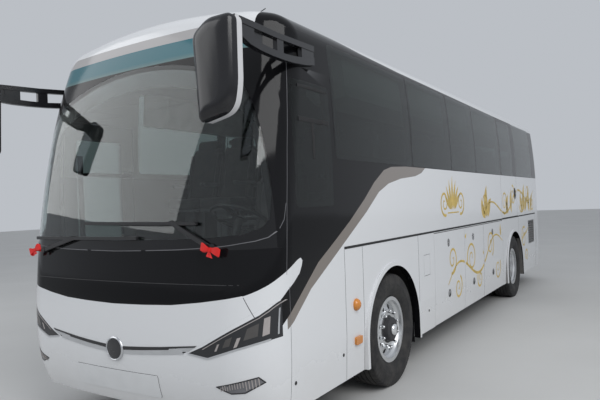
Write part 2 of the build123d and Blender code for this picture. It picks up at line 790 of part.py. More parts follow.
def rim(x):
    """One rim's revolved section with its middle at x."""
    edge = rim_half_width
    seat = rim_radius - 12 - fit
    with BuildPart() as wheel:
        with BuildSketch(Plane.XY):
            with BuildLine():
                Polyline((x - edge, rim_radius), (x - edge + 6, rim_radius),
                         (x - edge + 6, seat), (x + edge - 6, seat),
                         (x + edge - 6, rim_radius), (x + edge, rim_radius),
                         (x + edge, seat - 22), (x + edge - 30, seat - 22),
                         (x + edge - 50, seat - 40), (x - edge + 50, seat - 40),
                         (x - edge + 30, seat - 22), (x - edge, seat - 22), close=True)
            make_face()
        revolve(axis=Axis.X)
    return wheel.part


def disc(face, centre, sign):
    """Dished disc from the rim's well to the flat middle at centre."""
    well = rim_radius - 12 - 38
    hole_ring = 205
    with BuildPart() as dish:
        with BuildSketch(Plane.XY):
            with BuildLine():
                Polyline((face, well), (face - sign * disc_plate, well),
                         (centre - sign * disc_plate, 150),
                         (centre - sign * disc_plate, hub_radius - 2), (centre, hub_radius - 2),
                         (centre, 155), close=True)
            make_face()
        revolve(axis=Axis.X)
        with BuildSketch(Plane.YZ.offset(min(face, centre) - 40)):
            with PolarLocations(hole_ring, 10):
                Circle(24)
        extrude(amount=abs(face - centre) + 80, mode=Mode.SUBTRACT)
    return dish.part


def placed(part, y):
    return Pos(0, y, axle_z) * part


for sign, side_name in ((1, "left"), (-1, "right")):
    middle = sign * wheel_x
    with BuildPart() as front_tyre:
        add(placed(tyre(middle), front_axle_y))
        add(block(everywhere_x, (front_axle_y - 600, front_axle_y + 600), (-100, 0)),
            mode=Mode.SUBTRACT)
    save(front_tyre.part, f"front_tyre_{side_name}")

    with BuildPart() as front_wheel:
        add(rim(middle))
        add(disc(sign * (wheel_x + 50), sign * (wheel_x + 85), sign))
        hub_start = sign * (wheel_x - 115)
        with BuildSketch(Plane.XY):
            with BuildLine():
                Polyline((hub_start, spindle_radius + hub_fit), (hub_start, hub_radius - 15),
                         (sign * (wheel_x + 70), hub_radius), (sign * (wheel_x + 100), hub_radius),
                         (sign * (wheel_x + 108), 52), (sign * (wheel_x + 140), 48),
                         (sign * (wheel_x + 145), 0), (sign * (wheel_x + 58), 0),
                         (sign * (wheel_x + 58), spindle_radius + hub_fit), close=True)
            make_face()
        revolve(axis=Axis.X)
    save(placed(front_wheel.part, front_axle_y), f"front_rim_{side_name}")

    with BuildPart() as rear_tyres:
        for x in (middle, middle - sign * dual_spacing):
            add(placed(tyre(x), rear_axle_y))
        add(block(everywhere_x, (rear_axle_y - 600, rear_axle_y + 600), (-100, 0)),
            mode=Mode.SUBTRACT)
    save(rear_tyres.part, f"rear_tyres_{side_name}")

    with BuildPart() as rear_wheels:
        add(rim(middle))
        add(rim(middle - sign * dual_spacing))
        mate = middle - sign * dual_spacing / 2
        add(disc(sign * (wheel_x - 50), mate + sign * disc_plate, sign))
        add(disc(sign * (wheel_x - dual_spacing + 50), mate - sign * disc_plate, -sign))
        with BuildSketch(Plane.XY):
            with BuildLine():
                Polyline((middle - sign * (dual_spacing + 105), tube_radius - 20 + hub_fit),
                         (middle - sign * (dual_spacing + 105), hub_radius - 10),
                         (mate, hub_radius), (mate + sign * 40, hub_radius),
                         (mate + sign * 60, 76), (middle - sign * 38 + sign * 30, 74),
                         (middle - sign * 38 + sign * 40, 50), (middle - sign * 38 + sign * 42, 0),
                         (middle - sign * 38, 0), (middle - sign * 38, tube_radius - 20 + hub_fit),
                         close=True)
            make_face()
        revolve(axis=Axis.X)
    save(placed(rear_wheels.part, rear_axle_y), f"rear_rims_{side_name}")


# Engine as one block behind the rear axle
engine_half = rail_x - rail_wide - fit
engine_y = (rear_axle_y + 760, rear_seam_y - 30)
engine_z = (rail_z[0] - 130, deck_z - floor_plate - 90)
with BuildPart() as engine:
    add(block((-engine_half, engine_half), engine_y, engine_z))
    for share in cross_shares[2:]:
        cross = hold_back + fit + share * (rear_seam_y - hold_back - fit)
        add(block(everywhere_x, (cross - 40 - fit, cross + 40 + fit),
                  (rail_z[0] + 40 - fit, rail_z[1] - 20 + fit)), mode=Mode.SUBTRACT)
save(engine.part, "engine")


# Dashboard, steering wheel and seats
dash_half = half_width - 140
dash_y = nose_y + 110
with BuildPart() as dashboard:
    with BuildSketch(Plane.YZ.offset(-dash_half)):
        with BuildLine():
            Polyline((dash_y, platform_z + fit), (dash_y, screen_z - 6),
                     (dash_y + 410, screen_z + 40), (dash_y + 490, screen_z - 60),
                     (dash_y + 450, platform_z + 160), (dash_y + 310, platform_z + fit), close=True)
        make_face()
    extrude(amount=2 * dash_half)
    add(cabin_space, mode=Mode.INTERSECT)
save(dashboard.part, "dashboard")

driver_x = 620
wheel_tilt = 28
helm_radius = 225
helm = Plane(origin=(driver_x, dash_y + 620, screen_z + 190), x_dir=(1, 0, 0),
             z_dir=(0, sin(radians(wheel_tilt)), cos(radians(wheel_tilt))))
with BuildPart() as steering_wheel:
    with BuildSketch(Plane(helm.origin, x_dir=helm.z_dir, z_dir=-helm.y_dir)):
        with Locations((0, helm_radius)):
            Circle(15)
    revolve(axis=Axis(helm.origin, helm.z_dir))
    with BuildSketch(helm.offset(-8)):
        Rectangle(2 * helm_radius - 20, 46)
        with Locations((0, -helm_radius / 2)):
            Rectangle(40, helm_radius - 20)
        Circle(60)
    extrude(amount=16)
    with BuildSketch(helm.offset(-8)):
        Circle(32)
    extrude(amount=-340)
    add(dashboard.part, mode=Mode.SUBTRACT)
save(steering_wheel.part, "steering_wheel")

seat_side = [(0, 430), (0, 350), (60, 330), (430, 330), (560, 1060), (555, 1130), (500, 1150),
             (450, 1120), (345, 520), (310, 470), (60, 470)]
seat_leg = [(120, 0), (330, 0), (330, 340), (120, 340)]


def seats(places, wide):
    """Seats on their pedestals; each place is the middle across, the front edge, the floor."""
    with BuildPart() as seat:
        for outline, half in ((seat_side, wide / 2), (seat_leg, 60)):
            with BuildSketch(Plane.YZ.offset(-half)):
                with BuildLine():
                    Polyline(*outline, close=True)
                make_face()
            extrude(amount=2 * half)
    with BuildPart() as group:
        with Locations(*places):
            add(seat.part)
    return group.part


driver_seat_y = dash_y + 760
save(seats([(driver_x, driver_seat_y, platform_z + fit)], 500), "driver_seat")

row_pitch = 790
first_row = along(-480)
last_row = tail_y - 1140
row_count = int((last_row - first_row) / row_pitch) + 1
seat_wide = 440
seat_x = (490, 940)
rows = [first_row + number * row_pitch for number in range(row_count)]
exit_row = along((emergency_door[0] + emergency_door[1]) / 2)      # kept free beside the door
places = [(sign * x, y, deck_z + fit) for y in rows for sign in (1, -1) for x in seat_x
          if sign < 0 or abs(y + 280 - exit_row) > row_pitch / 2]
save(seats(places, seat_wide), "passenger_seats")

rack_in = 820
rack_low = 2560
with BuildPart() as luggage_racks:
    for sign in (1, -1):
        with BuildSketch(Plane.XZ.offset(-along(-700))):
            with BuildLine():
                Polyline((sign * (half_width + 50), rack_low + 60), (sign * 900, rack_low),
                         (sign * rack_in, rack_low + 90), (sign * rack_in, rack_low + 270),
                         (sign * (rack_in + 80), rack_low + 330),
                         (sign * (half_width + 50), rack_low + 400), close=True)
            make_face()
        extrude(amount=-(rear_seam_y - 60 - along(-700)))
    add(cabin_space, mode=Mode.INTERSECT)
save(luggage_racks.part, "luggage_racks")


# Mirrors on arms that spring from the roof's front corners
mirror_y = nose_y - mirror_reach
housing_deep = 135
housing = [(1085, 2270), (1140, 2215), (1340, 2225), (1405, 2300), (1440, 2760),
           (1400, 2850), (1180, 2850), (1110, 2780)]
arm_root = (half_width - 32, along(-1300))
arm_tip = (1345, mirror_y + housing_deep - 10)
arm_low = 2772
arm_high = 76
arm_wide = 42
arm_run = sqrt((arm_tip[0] - arm_root[0]) ** 2 + (arm_tip[1] - arm_root[1]) ** 2)
arm_dir = Vector(arm_tip[0] - arm_root[0], arm_tip[1] - arm_root[1], 0).normalized()
with BuildPart() as left_mirror:
    with BuildSketch(Plane.XZ.offset(-mirror_y)) as front_view:
        with BuildLine():
            Polyline(*housing, close=True)
        make_face()
        fillet(front_view.vertices(), radius=40)
    extrude(amount=-housing_deep)
    fillet(left_mirror.faces().sort_by(Axis.Y)[0].edges(), radius=45)
    fillet(left_mirror.faces().sort_by(Axis.Y)[-1].edges(), radius=12)
    with BuildSketch(Plane(origin=(*arm_root, arm_low), x_dir=arm_dir,
                           z_dir=arm_dir.cross(Vector(0, 0, 1)))):
        with Locations((arm_run / 2, arm_high / 2)):
            SlotOverall(arm_run + 60, arm_high)
        with GridLocations(arm_run * 0.22, 1, 3, 1):
            with Locations((arm_run * 0.52, arm_high / 2)):
                SlotOverall(arm_run * 0.16, arm_high * 0.42, mode=Mode.SUBTRACT)
    extrude(amount=arm_wide / 2, both=True)
    add(skin, mode=Mode.SUBTRACT)
with BuildPart() as mirrors:
    for part in both_sides(left_mirror.part):
        add(part)
save(mirrors.part, "mirrors")


# Wipers lie a finger's width off the windscreen
blades = [((-348, 1632), (770, 1612)), ((-1010, 1522), (250, 1518))]
arms = [((884, 1454), (560, 1622)), ((-880, 1425), (-470, 1522))]
wiper_gap = 16
blade_deep = 26
blade_wide = 24
arm_wide = 30
pivot_radius = 22
nose_skin = skin & block(everywhere_x, (nose_y - 500, front_seam_y), (1300, 1800))


def face_y(x, z):
    """Place of the nose's skin between the windscreen's lower edge and the waist."""
    low, high = body_sections[3], body_sections[4]
    share = (z - low[0]) / (high[0] - low[0])
    return nose_y + low[2] + share * (high[2] - low[2]) + x**2 / (2 * nose_crown)


def wiper(blade, arm):
    """Curved blade, straight arm across its back and the pivot that carries the arm."""
    (x0, z0), (x1, z1) = blade
    middle = ((x0 + x1) / 2, (z0 + z1) / 2)
    centre_y = face_y(*middle) - wiper_gap
    ends = [(x - middle[0], face_y(x, z) - wiper_gap - centre_y) for x, z in blade]
    lean = Vector(x1 - x0, 0, z1 - z0).normalized()
    roots = [Vector(x, face_y(x, z) - wiper_gap - blade_deep / 2, z) for x, z in arm]
    run = roots[1] - roots[0]
    with BuildPart() as parts:
        plan = Plane(origin=(middle[0], centre_y, middle[1]), x_dir=lean,
                     z_dir=lean.cross(Vector(0, 1, 0)))
        with BuildSketch(plan):
            with BuildLine():
                ThreePointArc(ends[0], (0, 0), ends[1])
                Line(ends[1], (ends[1][0], ends[1][1] - blade_deep))
                ThreePointArc((ends[1][0], ends[1][1] - blade_deep), (0, -blade_deep),
                              (ends[0][0], ends[0][1] - blade_deep))
                Line((ends[0][0], ends[0][1] - blade_deep), ends[0])
            make_face()
        extrude(amount=blade_wide / 2, both=True)
        with BuildSketch(Plane(origin=(roots[0] + roots[1]) / 2, x_dir=run,
                               z_dir=run.cross(Vector(0, 1, 0)).cross(run))):
            SlotOverall(run.length + arm_wide, arm_wide)
        extrude(amount=blade_deep / 2, both=True)
        with BuildSketch(Plane.XZ.offset(-roots[0].Y + blade_deep / 2 + 4)):
            with Locations(arm[0]):
                Circle(pivot_radius)
        extrude(amount=-100)
        add(Pos(0, -fit) * nose_skin, mode=Mode.SUBTRACT)
    return parts.part


with BuildPart() as wipers:
    add([wiper(*row) for row in zip(blades, arms)])
save(wipers.part, "wipers")


# On the roof: cooling unit, hatches and the aerial
cooler_y = (along(1250), along(3750))
cooler_half = 800
cooler_high = 165
with BuildPart() as air_conditioner:
    with BuildSketch(Plane.XZ.offset(-cooler_y[0])) as hood:
        with BuildLine():
            Polyline((-cooler_half, crown_z - 100), (-cooler_half, crown_z + 20),
                     (-cooler_half + 190, crown_z + cooler_high),
                     (cooler_half - 190, crown_z + cooler_high),
                     (cooler_half, crown_z + 20), (cooler_half, crown_z - 100), close=True)
        make_face()
        fillet([v for v in hood.vertices() if v.Y > crown_z], radius=60)
    extrude(amount=-(cooler_y[1] - cooler_y[0]))
    with BuildSketch(Plane.YZ.offset(-cooler_half)) as flank:
        with BuildLine():
            Polyline((cooler_y[0], crown_z - 100), (cooler_y[0] + 260, crown_z + cooler_high),
                     (cooler_y[1] - 160, crown_z + cooler_high), (cooler_y[1], crown_z - 100),
                     close=True)
        make_face()
        fillet([v for v in flank.vertices() if v.Y > crown_z], radius=90)
    extrude(amount=2 * cooler_half, mode=Mode.INTERSECT)
    with Locations(*[(x, y, crown_z + cooler_high) for x in (-330, 330)
                     for y in (cooler_y[0] + 620, cooler_y[1] - 520)]):
        Cylinder(215, 30, mode=Mode.SUBTRACT)
    add(skin, mode=Mode.SUBTRACT)
save(air_conditioner.part, "air_conditioner")

hatch_size = (640, 780)
hatch_high = 48
hatch_places = (along(350), along(5150))
with BuildPart() as roof_hatches:
    with BuildSketch(Plane.XY.offset(crown_z - 80)):
        with Locations(*[(0, y) for y in hatch_places]):
            RectangleRounded(*hatch_size, 90)
    extrude(amount=80 + hatch_high)
    fillet(roof_hatches.faces().filter_by(Axis.Z).group_by(Axis.Z)[-1].edges(), radius=22)
    add(skin, mode=Mode.SUBTRACT)
save(roof_hatches.part, "roof_hatches")

aerial_place = (700, along(-1250))
with BuildPart() as aerial:
    with BuildSketch(Plane.XY.offset(crown_z - 120)):
        with Locations(aerial_place):
            SlotOverall(110, 46, rotation=90)
    extrude(amount=160, taper=6)
    with BuildSketch(Plane(origin=(*aerial_place, crown_z + 30), z_dir=(0, 0.62, 0.4))):
        Circle(4)
    extrude(amount=190)
    add(skin, mode=Mode.SUBTRACT)
save(aerial.part, "aerial")


# Mudflaps and air springs under the floor
flap_wide = 300
flap_thick = 8
with BuildPart() as mudflaps:
    for axle_y, drop in ((front_axle_y, 240), (rear_axle_y, 240)):
        y = axle_y + liner_radius + liner_wall + fit
        for sign in (1, -1):
            x = sorted((sign * 900, sign * (skirt_profile[0][1] - wall - 2)))
            add(block(x, (y, y + flap_thick), (drop, 560)))
save(mudflaps.part, "mudflaps")


# Passenger door's swinging arm with its post
door_arm_x = half_width - 125
post_y = along(passenger_door[0]) + 130
pin_y = along(passenger_door[1]) - 90
arm_levels = (900, 2050)
post_radius = 24
pin_radius = 14
pin_fit = 0.3
post_top = 2240
bracket = (door_arm_x - 20, half_width - wall - fit)      # from inside the pin to the leaf
with BuildPart() as door_arm:
    with BuildSketch(Plane.XY.offset(step_z[0] + fit)):
        with Locations((-door_arm_x, post_y)):
            Circle(post_radius)
    extrude(amount=post_top - step_z[0] - fit)
    for z in arm_levels:
        with BuildSketch(Plane.XY.offset(z)):
            with Locations((-door_arm_x, (post_y + pin_y) / 2)):
                SlotOverall(pin_y - post_y + 60, 44, rotation=90)
            with Locations((-door_arm_x, pin_y)):
                Circle(pin_radius + pin_fit, mode=Mode.SUBTRACT)
        extrude(amount=36)
save(door_arm.part, "door_arm")

with BuildPart() as door_bracket:
    for z in arm_levels:
        with BuildSketch(Plane.XY.offset(z - 6)):
            with Locations((-door_arm_x, pin_y)):
                Circle(pin_radius)
        extrude(amount=48)
        with BuildSketch(Plane.XY.offset(z + 42)):
            with Locations((-(bracket[0] + bracket[1]) / 2, pin_y)):
                Rectangle(bracket[1] - bracket[0], 40)
        extrude(amount=20)
    add(cabin_space, mode=Mode.INTERSECT)
save(door_bracket.part, "door_bracket")
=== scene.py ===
import math
from functools import partialmethod, reduce
from itertools import groupby

import bmesh
import bpy
from mathutils import Matrix, Vector
from mathutils.bvhtree import BVHTree
from mathutils.geometry import delaunay_2d_cdt


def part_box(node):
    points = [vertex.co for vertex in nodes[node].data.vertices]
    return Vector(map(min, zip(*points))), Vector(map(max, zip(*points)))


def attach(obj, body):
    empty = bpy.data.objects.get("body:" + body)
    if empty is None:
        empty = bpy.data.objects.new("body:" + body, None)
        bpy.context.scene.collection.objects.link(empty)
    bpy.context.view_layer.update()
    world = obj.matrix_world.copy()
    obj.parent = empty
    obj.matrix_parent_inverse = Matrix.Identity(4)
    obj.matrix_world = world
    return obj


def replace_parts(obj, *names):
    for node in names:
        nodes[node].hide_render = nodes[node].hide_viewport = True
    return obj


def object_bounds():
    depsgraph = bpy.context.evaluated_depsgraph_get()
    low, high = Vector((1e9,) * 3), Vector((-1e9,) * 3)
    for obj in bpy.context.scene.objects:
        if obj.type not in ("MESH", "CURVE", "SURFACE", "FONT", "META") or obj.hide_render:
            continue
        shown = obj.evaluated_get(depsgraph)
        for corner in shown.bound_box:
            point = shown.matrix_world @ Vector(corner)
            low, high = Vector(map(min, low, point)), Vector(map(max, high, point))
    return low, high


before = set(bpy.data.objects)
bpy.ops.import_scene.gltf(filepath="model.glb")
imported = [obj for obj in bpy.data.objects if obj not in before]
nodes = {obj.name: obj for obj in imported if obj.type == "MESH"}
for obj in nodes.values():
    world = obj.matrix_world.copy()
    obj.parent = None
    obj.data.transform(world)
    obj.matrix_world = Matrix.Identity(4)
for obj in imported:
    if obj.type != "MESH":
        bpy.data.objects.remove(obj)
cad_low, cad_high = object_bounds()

# Touring coach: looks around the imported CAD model. Metres, +Y to the rear, +X to the driver's side.
scene = bpy.context.scene
sides = {"left": 1, "right": -1}


def middle_of(node):
    low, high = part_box(node)
    return (low + high) / 2


# Places taken from the frame
front_y = middle_of("front_rim_left").y
rear_y = middle_of("rear_rims_left").y
axle_z = middle_of("front_rim_left").z
tyre_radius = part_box("front_tyre_left")[1].z - axle_z
tyre_middle_x = middle_of("front_tyre_left").x
dual_spacing = 0.338
half_width = 1.275
tail_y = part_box("rear_wall")[1].y
nose_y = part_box("front_bumper")[0].y
deck_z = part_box("deck")[1].z
waist_z = 2.047
trim_z = 1.352
skirt_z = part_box("side_wall_left")[0].z

# Doors and seams of the sides, measured from the front axle: start, end, low, high
hold_seams = (1.155, 2.318, 3.250, 4.400)
hold_low, hold_high = 0.310, 1.326
emergency = (4.420, 5.570, 1.367, 2.970)
louvre = (6.480, 7.040, 0.800, 1.236)
bay_seam, tail_seam = 5.62, 7.20
arch_radius = 0.634
arch_inside = 0.5935


# Shapes: joined meshes built from simple parts
class Shape:
    """Collects vertices and faces, then becomes one piece."""

    # Cross-section of a strip: share of its width, share of its thickness
    strip_section = ((-0.5, 0.0), (-0.36, 1.0), (0.36, 1.0), (0.5, 0.0))

    def __init__(self):
        self.vertices = []
        self.faces = []

    def add(self, vertices, faces):
        base = len(self.vertices)
        self.vertices += [Vector(p) for p in vertices]
        self.faces += [tuple(base + i for i in face) for face in faces]

    def skin(self, rings, capped=True):
        """A skin over rings of as many points each."""
        count = len(rings[0])
        last = (len(rings) - 1) * count
        faces = [(r + s, r + (s + 1) % count, r + count + (s + 1) % count, r + count + s)
                 for r in range(0, last, count) for s in range(count)]
        if capped:
            faces += [tuple(reversed(range(count))), tuple(range(last, last + count))]
        self.add([point for ring in rings for point in ring], faces)

    def block(self, low, high, bevel, segments=2, turn=None):
        """A box with rounded edges, turned about its middle if turn is given."""
        low, high = Vector(low), Vector(high)
        mesh = bmesh.new()
        bmesh.ops.create_cube(mesh, size=1.0)
        bmesh.ops.scale(mesh, vec=high - low, verts=mesh.verts)
        bmesh.ops.bevel(mesh, geom=mesh.edges[:], offset=bevel, segments=segments,
                        profile=0.5, affect="EDGES")
        if turn is not None:
            bmesh.ops.rotate(mesh, matrix=turn, verts=mesh.verts)
        bmesh.ops.translate(mesh, vec=(low + high) / 2, verts=mesh.verts)
        mesh.verts.index_update()
        self.add([v.co for v in mesh.verts], [[v.index for v in face.verts] for face in mesh.faces])
        mesh.free()

    def lathe(self, profile, centre, axis, segments):
        """Revolves (along, radius) pairs, from axis to axis, about an axis through centre."""
        axis = Vector(axis).normalized()
        side = axis.orthogonal().normalized()
        other = axis.cross(side)
        turns = [math.tau * s / segments for s in range(segments)]
        self.skin([[Vector(centre) + axis * along
                    + (side * math.cos(turn) + other * math.sin(turn)) * radius for turn in turns]
                   for along, radius in profile], capped=False)

    def ribbon(self, path, width, place, thick, lift=0.0):
        """A strip along a flat path, laid on a surface; width may change along it."""
        rings = []
        for i, point in enumerate(path):
            ahead = Vector(path[min(i + 1, len(path) - 1)]) - Vector(path[max(i - 1, 0)])
            ahead.normalize()
            across = Vector((-ahead.y, ahead.x))
            wide = width[i] if isinstance(width, list) else width
            spots = [place(*(Vector(point) + across * wide * share))
                     for share, _ in self.strip_section]
            if all(spots):
                rings.append([spot + normal * (lift + thick * high)
                              for (spot, normal), (_, high) in zip(spots, self.strip_section)])
        if len(rings) > 1:
            self.skin(rings)

    def patch(self, outline, place, thick, step, lift=0.0):
        """A thin plate over a flat outline, bent onto a surface."""
        ring = spread(outline, step)
        us, vs = zip(*ring)
        grid = []
        for i in range(1, int((max(us) - min(us)) / step) + 1):
            for j in range(1, int((max(vs) - min(vs)) / step) + 1):
                point = (min(us) + i * step, min(vs) + j * step)
                clear = all(math.dist(point, p) > step * 0.45 for p in ring)
                if clear and inside(point, ring):
                    grid.append(point)
        points = [Vector(p) for p in ring + grid]
        edges = [(i, (i + 1) % len(ring)) for i in range(len(ring))]
        flat, _, triangles, *_ = delaunay_2d_cdt(points, edges, [], 1, 1e-7)
        spots = [place(*p) for p in flat]
        known = [spot for spot in spots if spot]
        spots = [spot or known[0] for spot in spots]
        count = len(flat)
        vertices = [spot + normal * (lift + thick) for spot, normal in spots]
        vertices += [spot + normal * lift for spot, normal in spots]
        faces = [tuple(t) for t in triangles]
        faces += [tuple(count + i for i in reversed(t)) for t in triangles]
        used = dict.fromkeys((a, b) for t in triangles for a, b in zip(t, (*t[1:], t[0])))
        faces += [(b, a, count + a, count + b) for a, b in used if (b, a) not in used]
        self.add(vertices, faces)

    def finish(self, name, material, body, slot):
        """Makes the piece, which rides its body."""
        mesh = bpy.data.meshes.new(name)
        mesh.from_pydata([tuple(v) for v in self.vertices], [], self.faces)
        mesh.validate()
        work = bmesh.new()
        work.from_mesh(mesh)
        bmesh.ops.recalc_face_normals(work, faces=work.faces)
        work.to_mesh(mesh)
        work.free()
        mesh.materials.append(material)
        piece = bpy.data.objects.new(name, mesh)
        scene.collection.objects.link(piece)
        for face in mesh.polygons:
            face.use_smooth = True
        mesh.set_sharp_from_angle(angle=math.radians(38))
        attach(piece, body)
        return piece


def spread(outline, step):
    """The outline with its long edges divided."""
    ring = []
    for a, b in zip(outline, list(outline[1:]) + [outline[0]]):
        count = max(1, round(math.dist(a, b) / step))
        ring += [(a[0] + (b[0] - a[0]) * i / count, a[1] + (b[1] - a[1]) * i / count)
                 for i in range(count)]
    return ring


def inside(point, ring):
    """Whether a point lies inside a ring of points."""
    hit = False
    for (x0, y0), (x1, y1) in zip(ring, ring[1:] + ring[:1]):
        if (y0 > point[1]) != (y1 > point[1]):
            if point[0] < (x1 - x0) * (point[1] - y0) / (y1 - y0) + x0:
                hit = not hit
    return hit


def rounded(y, z, radius):
    """Outline of a rounded rectangle from its two ranges."""
    steps = 5
    corners = [(y[1] - radius, z[1] - radius, 0), (y[0] + radius, z[1] - radius, 90),
               (y[0] + radius, z[0] + radius, 180), (y[1] - radius, z[0] + radius, 270)]
    turns = [(cy, cz, math.radians(start + 90 * i / steps))
             for cy, cz, start in corners for i in range(steps + 1)]
    return [(cy + radius * math.cos(turn), cz + radius * math.sin(turn)) for cy, cz, turn in turns]


def line(a, b, step=0.05):
    count = max(2, int(math.dist(a, b) / step))
    return [(a[0] + (b[0] - a[0]) * i / count, a[1] + (b[1] - a[1]) * i / count)
            for i in range(count + 1)]


def stretches(points, sign, step):
    """One line for each stretch between points; sign -1 mirrors them."""
    return [line((sign * a[0], a[1]), (sign * b[0], b[1]), step)
            for a, b in zip(points, points[1:])]


def round_trip(outline, step):
    """A closed path along an outline."""
    ring = spread(outline, step)
    return ring + ring[:2]


# Surfaces of the body that trim lies on
def surface(*names):
    """The joined faces of CAD nodes, to cast rays at."""
    joined = Shape()
    for name in names:
        mesh = nodes[name].data
        joined.add([v.co for v in mesh.vertices], [p.vertices for p in mesh.polygons])
    return BVHTree.FromPolygons(joined.vertices, joined.faces)


def side_surface(side, *doors_and_panes):
    lids = [f"luggage_door_{side}_{number}" for number in (1, 2, 3)]
    return surface(f"side_wall_{side}", f"cab_side_{side}", "front_bumper", "front_panel",
                   "front_pillars", *doors_and_panes, "rear_wall", "roof", *lids)


side_skin = {1: side_surface("left", "emergency_door", "emergency_door_glass", "window_panes",
                             "fuel_flap"),
             -1: side_surface("right", "passenger_door", "passenger_door_glass", "window_panes")}
nose_skin = surface("front_bumper", "front_panel", "headlamps", "fog_lamps", "nose_strip",
                    "windscreen", "roof", "front_pillars")
tail_skin = surface("rear_wall", "engine_door", "window_panes", "tail_lamps")
side_deep = 0.3


def cast(skin, start, heading):
    """Where a ray meets a skin, and the normal there towards its start; None for a miss."""
    heading = Vector(heading)
    spot, normal, *_ = skin.ray_cast(Vector(start), heading)
    if spot is None:
        return None
    return spot, normal if normal.dot(heading) < 0 else -normal


def on_side(sign):
    """Place on a side wall from (distance behind the front axle, height)."""
    def place(y, z):
        hit = cast(side_skin[sign], (sign * 2, front_y + y, z), (-sign, 0, 0))
        return hit if hit and abs(hit[0].x) >= half_width - side_deep else None
    return place


def on_nose(x, z):
    """Place on the nose from (across, height)."""
    return cast(nose_skin, (x, nose_y - 1, z), (0, 1, 0))


def on_tail(x, z):
    """Place on the tail from (across, height)."""
    return cast(tail_skin, (x, tail_y + 1, z), (0, -1, 0))


# Materials
class Finish:
    """Builds one node material; its methods return sockets."""

    def __init__(self, name, colour=(0.5, 0.5, 0.5), rough=0.5, metal=0.0, **values):
        self.material = bpy.data.materials.new(name)
        self.material.use_nodes = True
        self.tree = self.material.node_tree
        self.shader = self.tree.nodes["Principled BSDF"]
        self.set("Base Color", (*colour, 1.0))
        self.set("Roughness", rough)
        self.set("Metallic", metal)
        for key, value in values.items():
            self.set(key.replace("_", " ").title().replace("Ior", "IOR"), value)
        source = self.node("ShaderNodeTexCoord").outputs
        self.place, self.facing = source["Object"], source["Normal"]
        self.x, self.y, self.z = self.split(self.place)

    def feed(self, socket, value):
        """Gives a socket a value, or the end of a chain of nodes."""
        if isinstance(value, bpy.types.NodeSocket):
            self.tree.links.new(value, socket)
        else:
            socket.default_value = value

    def set(self, socket, value):
        self.feed(self.shader.inputs[socket], value)

    def node(self, kind, inputs=(), **values):
        made = self.tree.nodes.new(kind)
        for key, value in values.items():
            setattr(made, key, value)
        for key, value in dict(inputs).items():
            self.feed(made.inputs[key], value)
        return made

    def split(self, vector):
        return self.node("ShaderNodeSeparateXYZ", {0: vector}).outputs

    def calc(self, operation, a, b=0.0):
        return self.node("ShaderNodeMath", {0: a, 1: b}, operation=operation).outputs[0]

    plus = partialmethod(calc, "ADD")
    minus = partialmethod(calc, "SUBTRACT")
    times = partialmethod(calc, "MULTIPLY")
    most = partialmethod(calc, "MAXIMUM")
    above = partialmethod(calc, "GREATER_THAN")
    below = partialmethod(calc, "LESS_THAN")
    unsigned = partialmethod(calc, "ABSOLUTE")
    sign = partialmethod(calc, "SIGN")

    def where(self, *masks):
        """Where all the masks hold."""
        return reduce(self.times, masks)

    def noise(self, scale, detail=3.0, rough=0.5, stretch=None):
        vector = self.place
        if stretch:
            vector = self.node("ShaderNodeVectorMath", {0: vector, 1: stretch},
                               operation="MULTIPLY").outputs[0]
        return self.node("ShaderNodeTexNoise", {"Vector": vector, "Scale": scale,
                                                "Detail": detail, "Roughness": rough}).outputs[0]

    def ramp(self, value, low, high, out_low=0.0, out_high=1.0):
        return self.node("ShaderNodeMapRange", {0: value, 1: low, 2: high, 3: out_low,
                                                4: out_high}).outputs[0]

    def mix(self, share, *colours):
        """Mixes two colours."""
        a, b = (colour if isinstance(colour, bpy.types.NodeSocket) else (*colour, 1.0)
                for colour in colours)
        return self.node("ShaderNodeMix", {0: share, 6: a, 7: b}, data_type="RGBA").outputs[2]

    def bump(self, height, strength, distance):
        made = self.node("ShaderNodeBump", {"Strength": strength, "Distance": distance,
                                            "Height": height})
        self.set("Normal", made.outputs[0])

    def curve(self, value, points):
        """Height of a line through points (along, height) at value along."""
        low, high = points[0][0], points[-1][0]
        curve = self.node("ShaderNodeFloatCurve", {"Value": self.ramp(value, low, high)})
        line_points = curve.mapping.curves[0].points
        span = 3.0
        while len(line_points) < len(points):
            line_points.new(0.5, 0.5)
        for spot, (along, height) in zip(line_points, points):
            spot.location = ((along - low) / (high - low), height / span)
            spot.handle_type = "VECTOR"
        curve.mapping.update()
        return self.times(curve.outputs[0], span)


white = (0.69, 0.70, 0.715)
black = (0.006, 0.006, 0.007)
beige = (0.20, 0.175, 0.155)

# Livery lines of the sides: (behind the front axle, height)
line_end = 0.967
black_line = [(-1.86, 0.905), (-1.813, 0.946), (-1.371, 1.285), (-1.101, 1.424), (-0.844, 1.561),
              (-0.558, 1.734), (-0.348, 1.880), (-0.127, 1.994), (0.045, 2.030), (0.411, 2.046),
              (line_end, waist_z)]
beige_line = [(-1.80, 0.880), (-1.726, 0.921), (-1.488, 1.107), (-0.986, 1.377), (-0.520, 1.629),
              (-0.254, 1.795), (-0.029, 1.873), (0.271, 1.923), (0.667, 1.955), (0.849, 1.992),
              (line_end, waist_z)]
roof_line = [(-1.60, 3.14), (-1.129, 3.105), (-0.320, 3.035), (0.527, 3.010), (2.971, 2.992),
             (7.250, 2.960)]
# Lower edge of the nose's black panel: (from the middle, height)
nose_line = [(0.0, 1.046), (0.30, 1.052), (0.56, 1.062), (0.80, 1.088), (1.00, 1.117),
             (1.11, 1.137), (1.19, 1.172), (1.28, 1.240)]
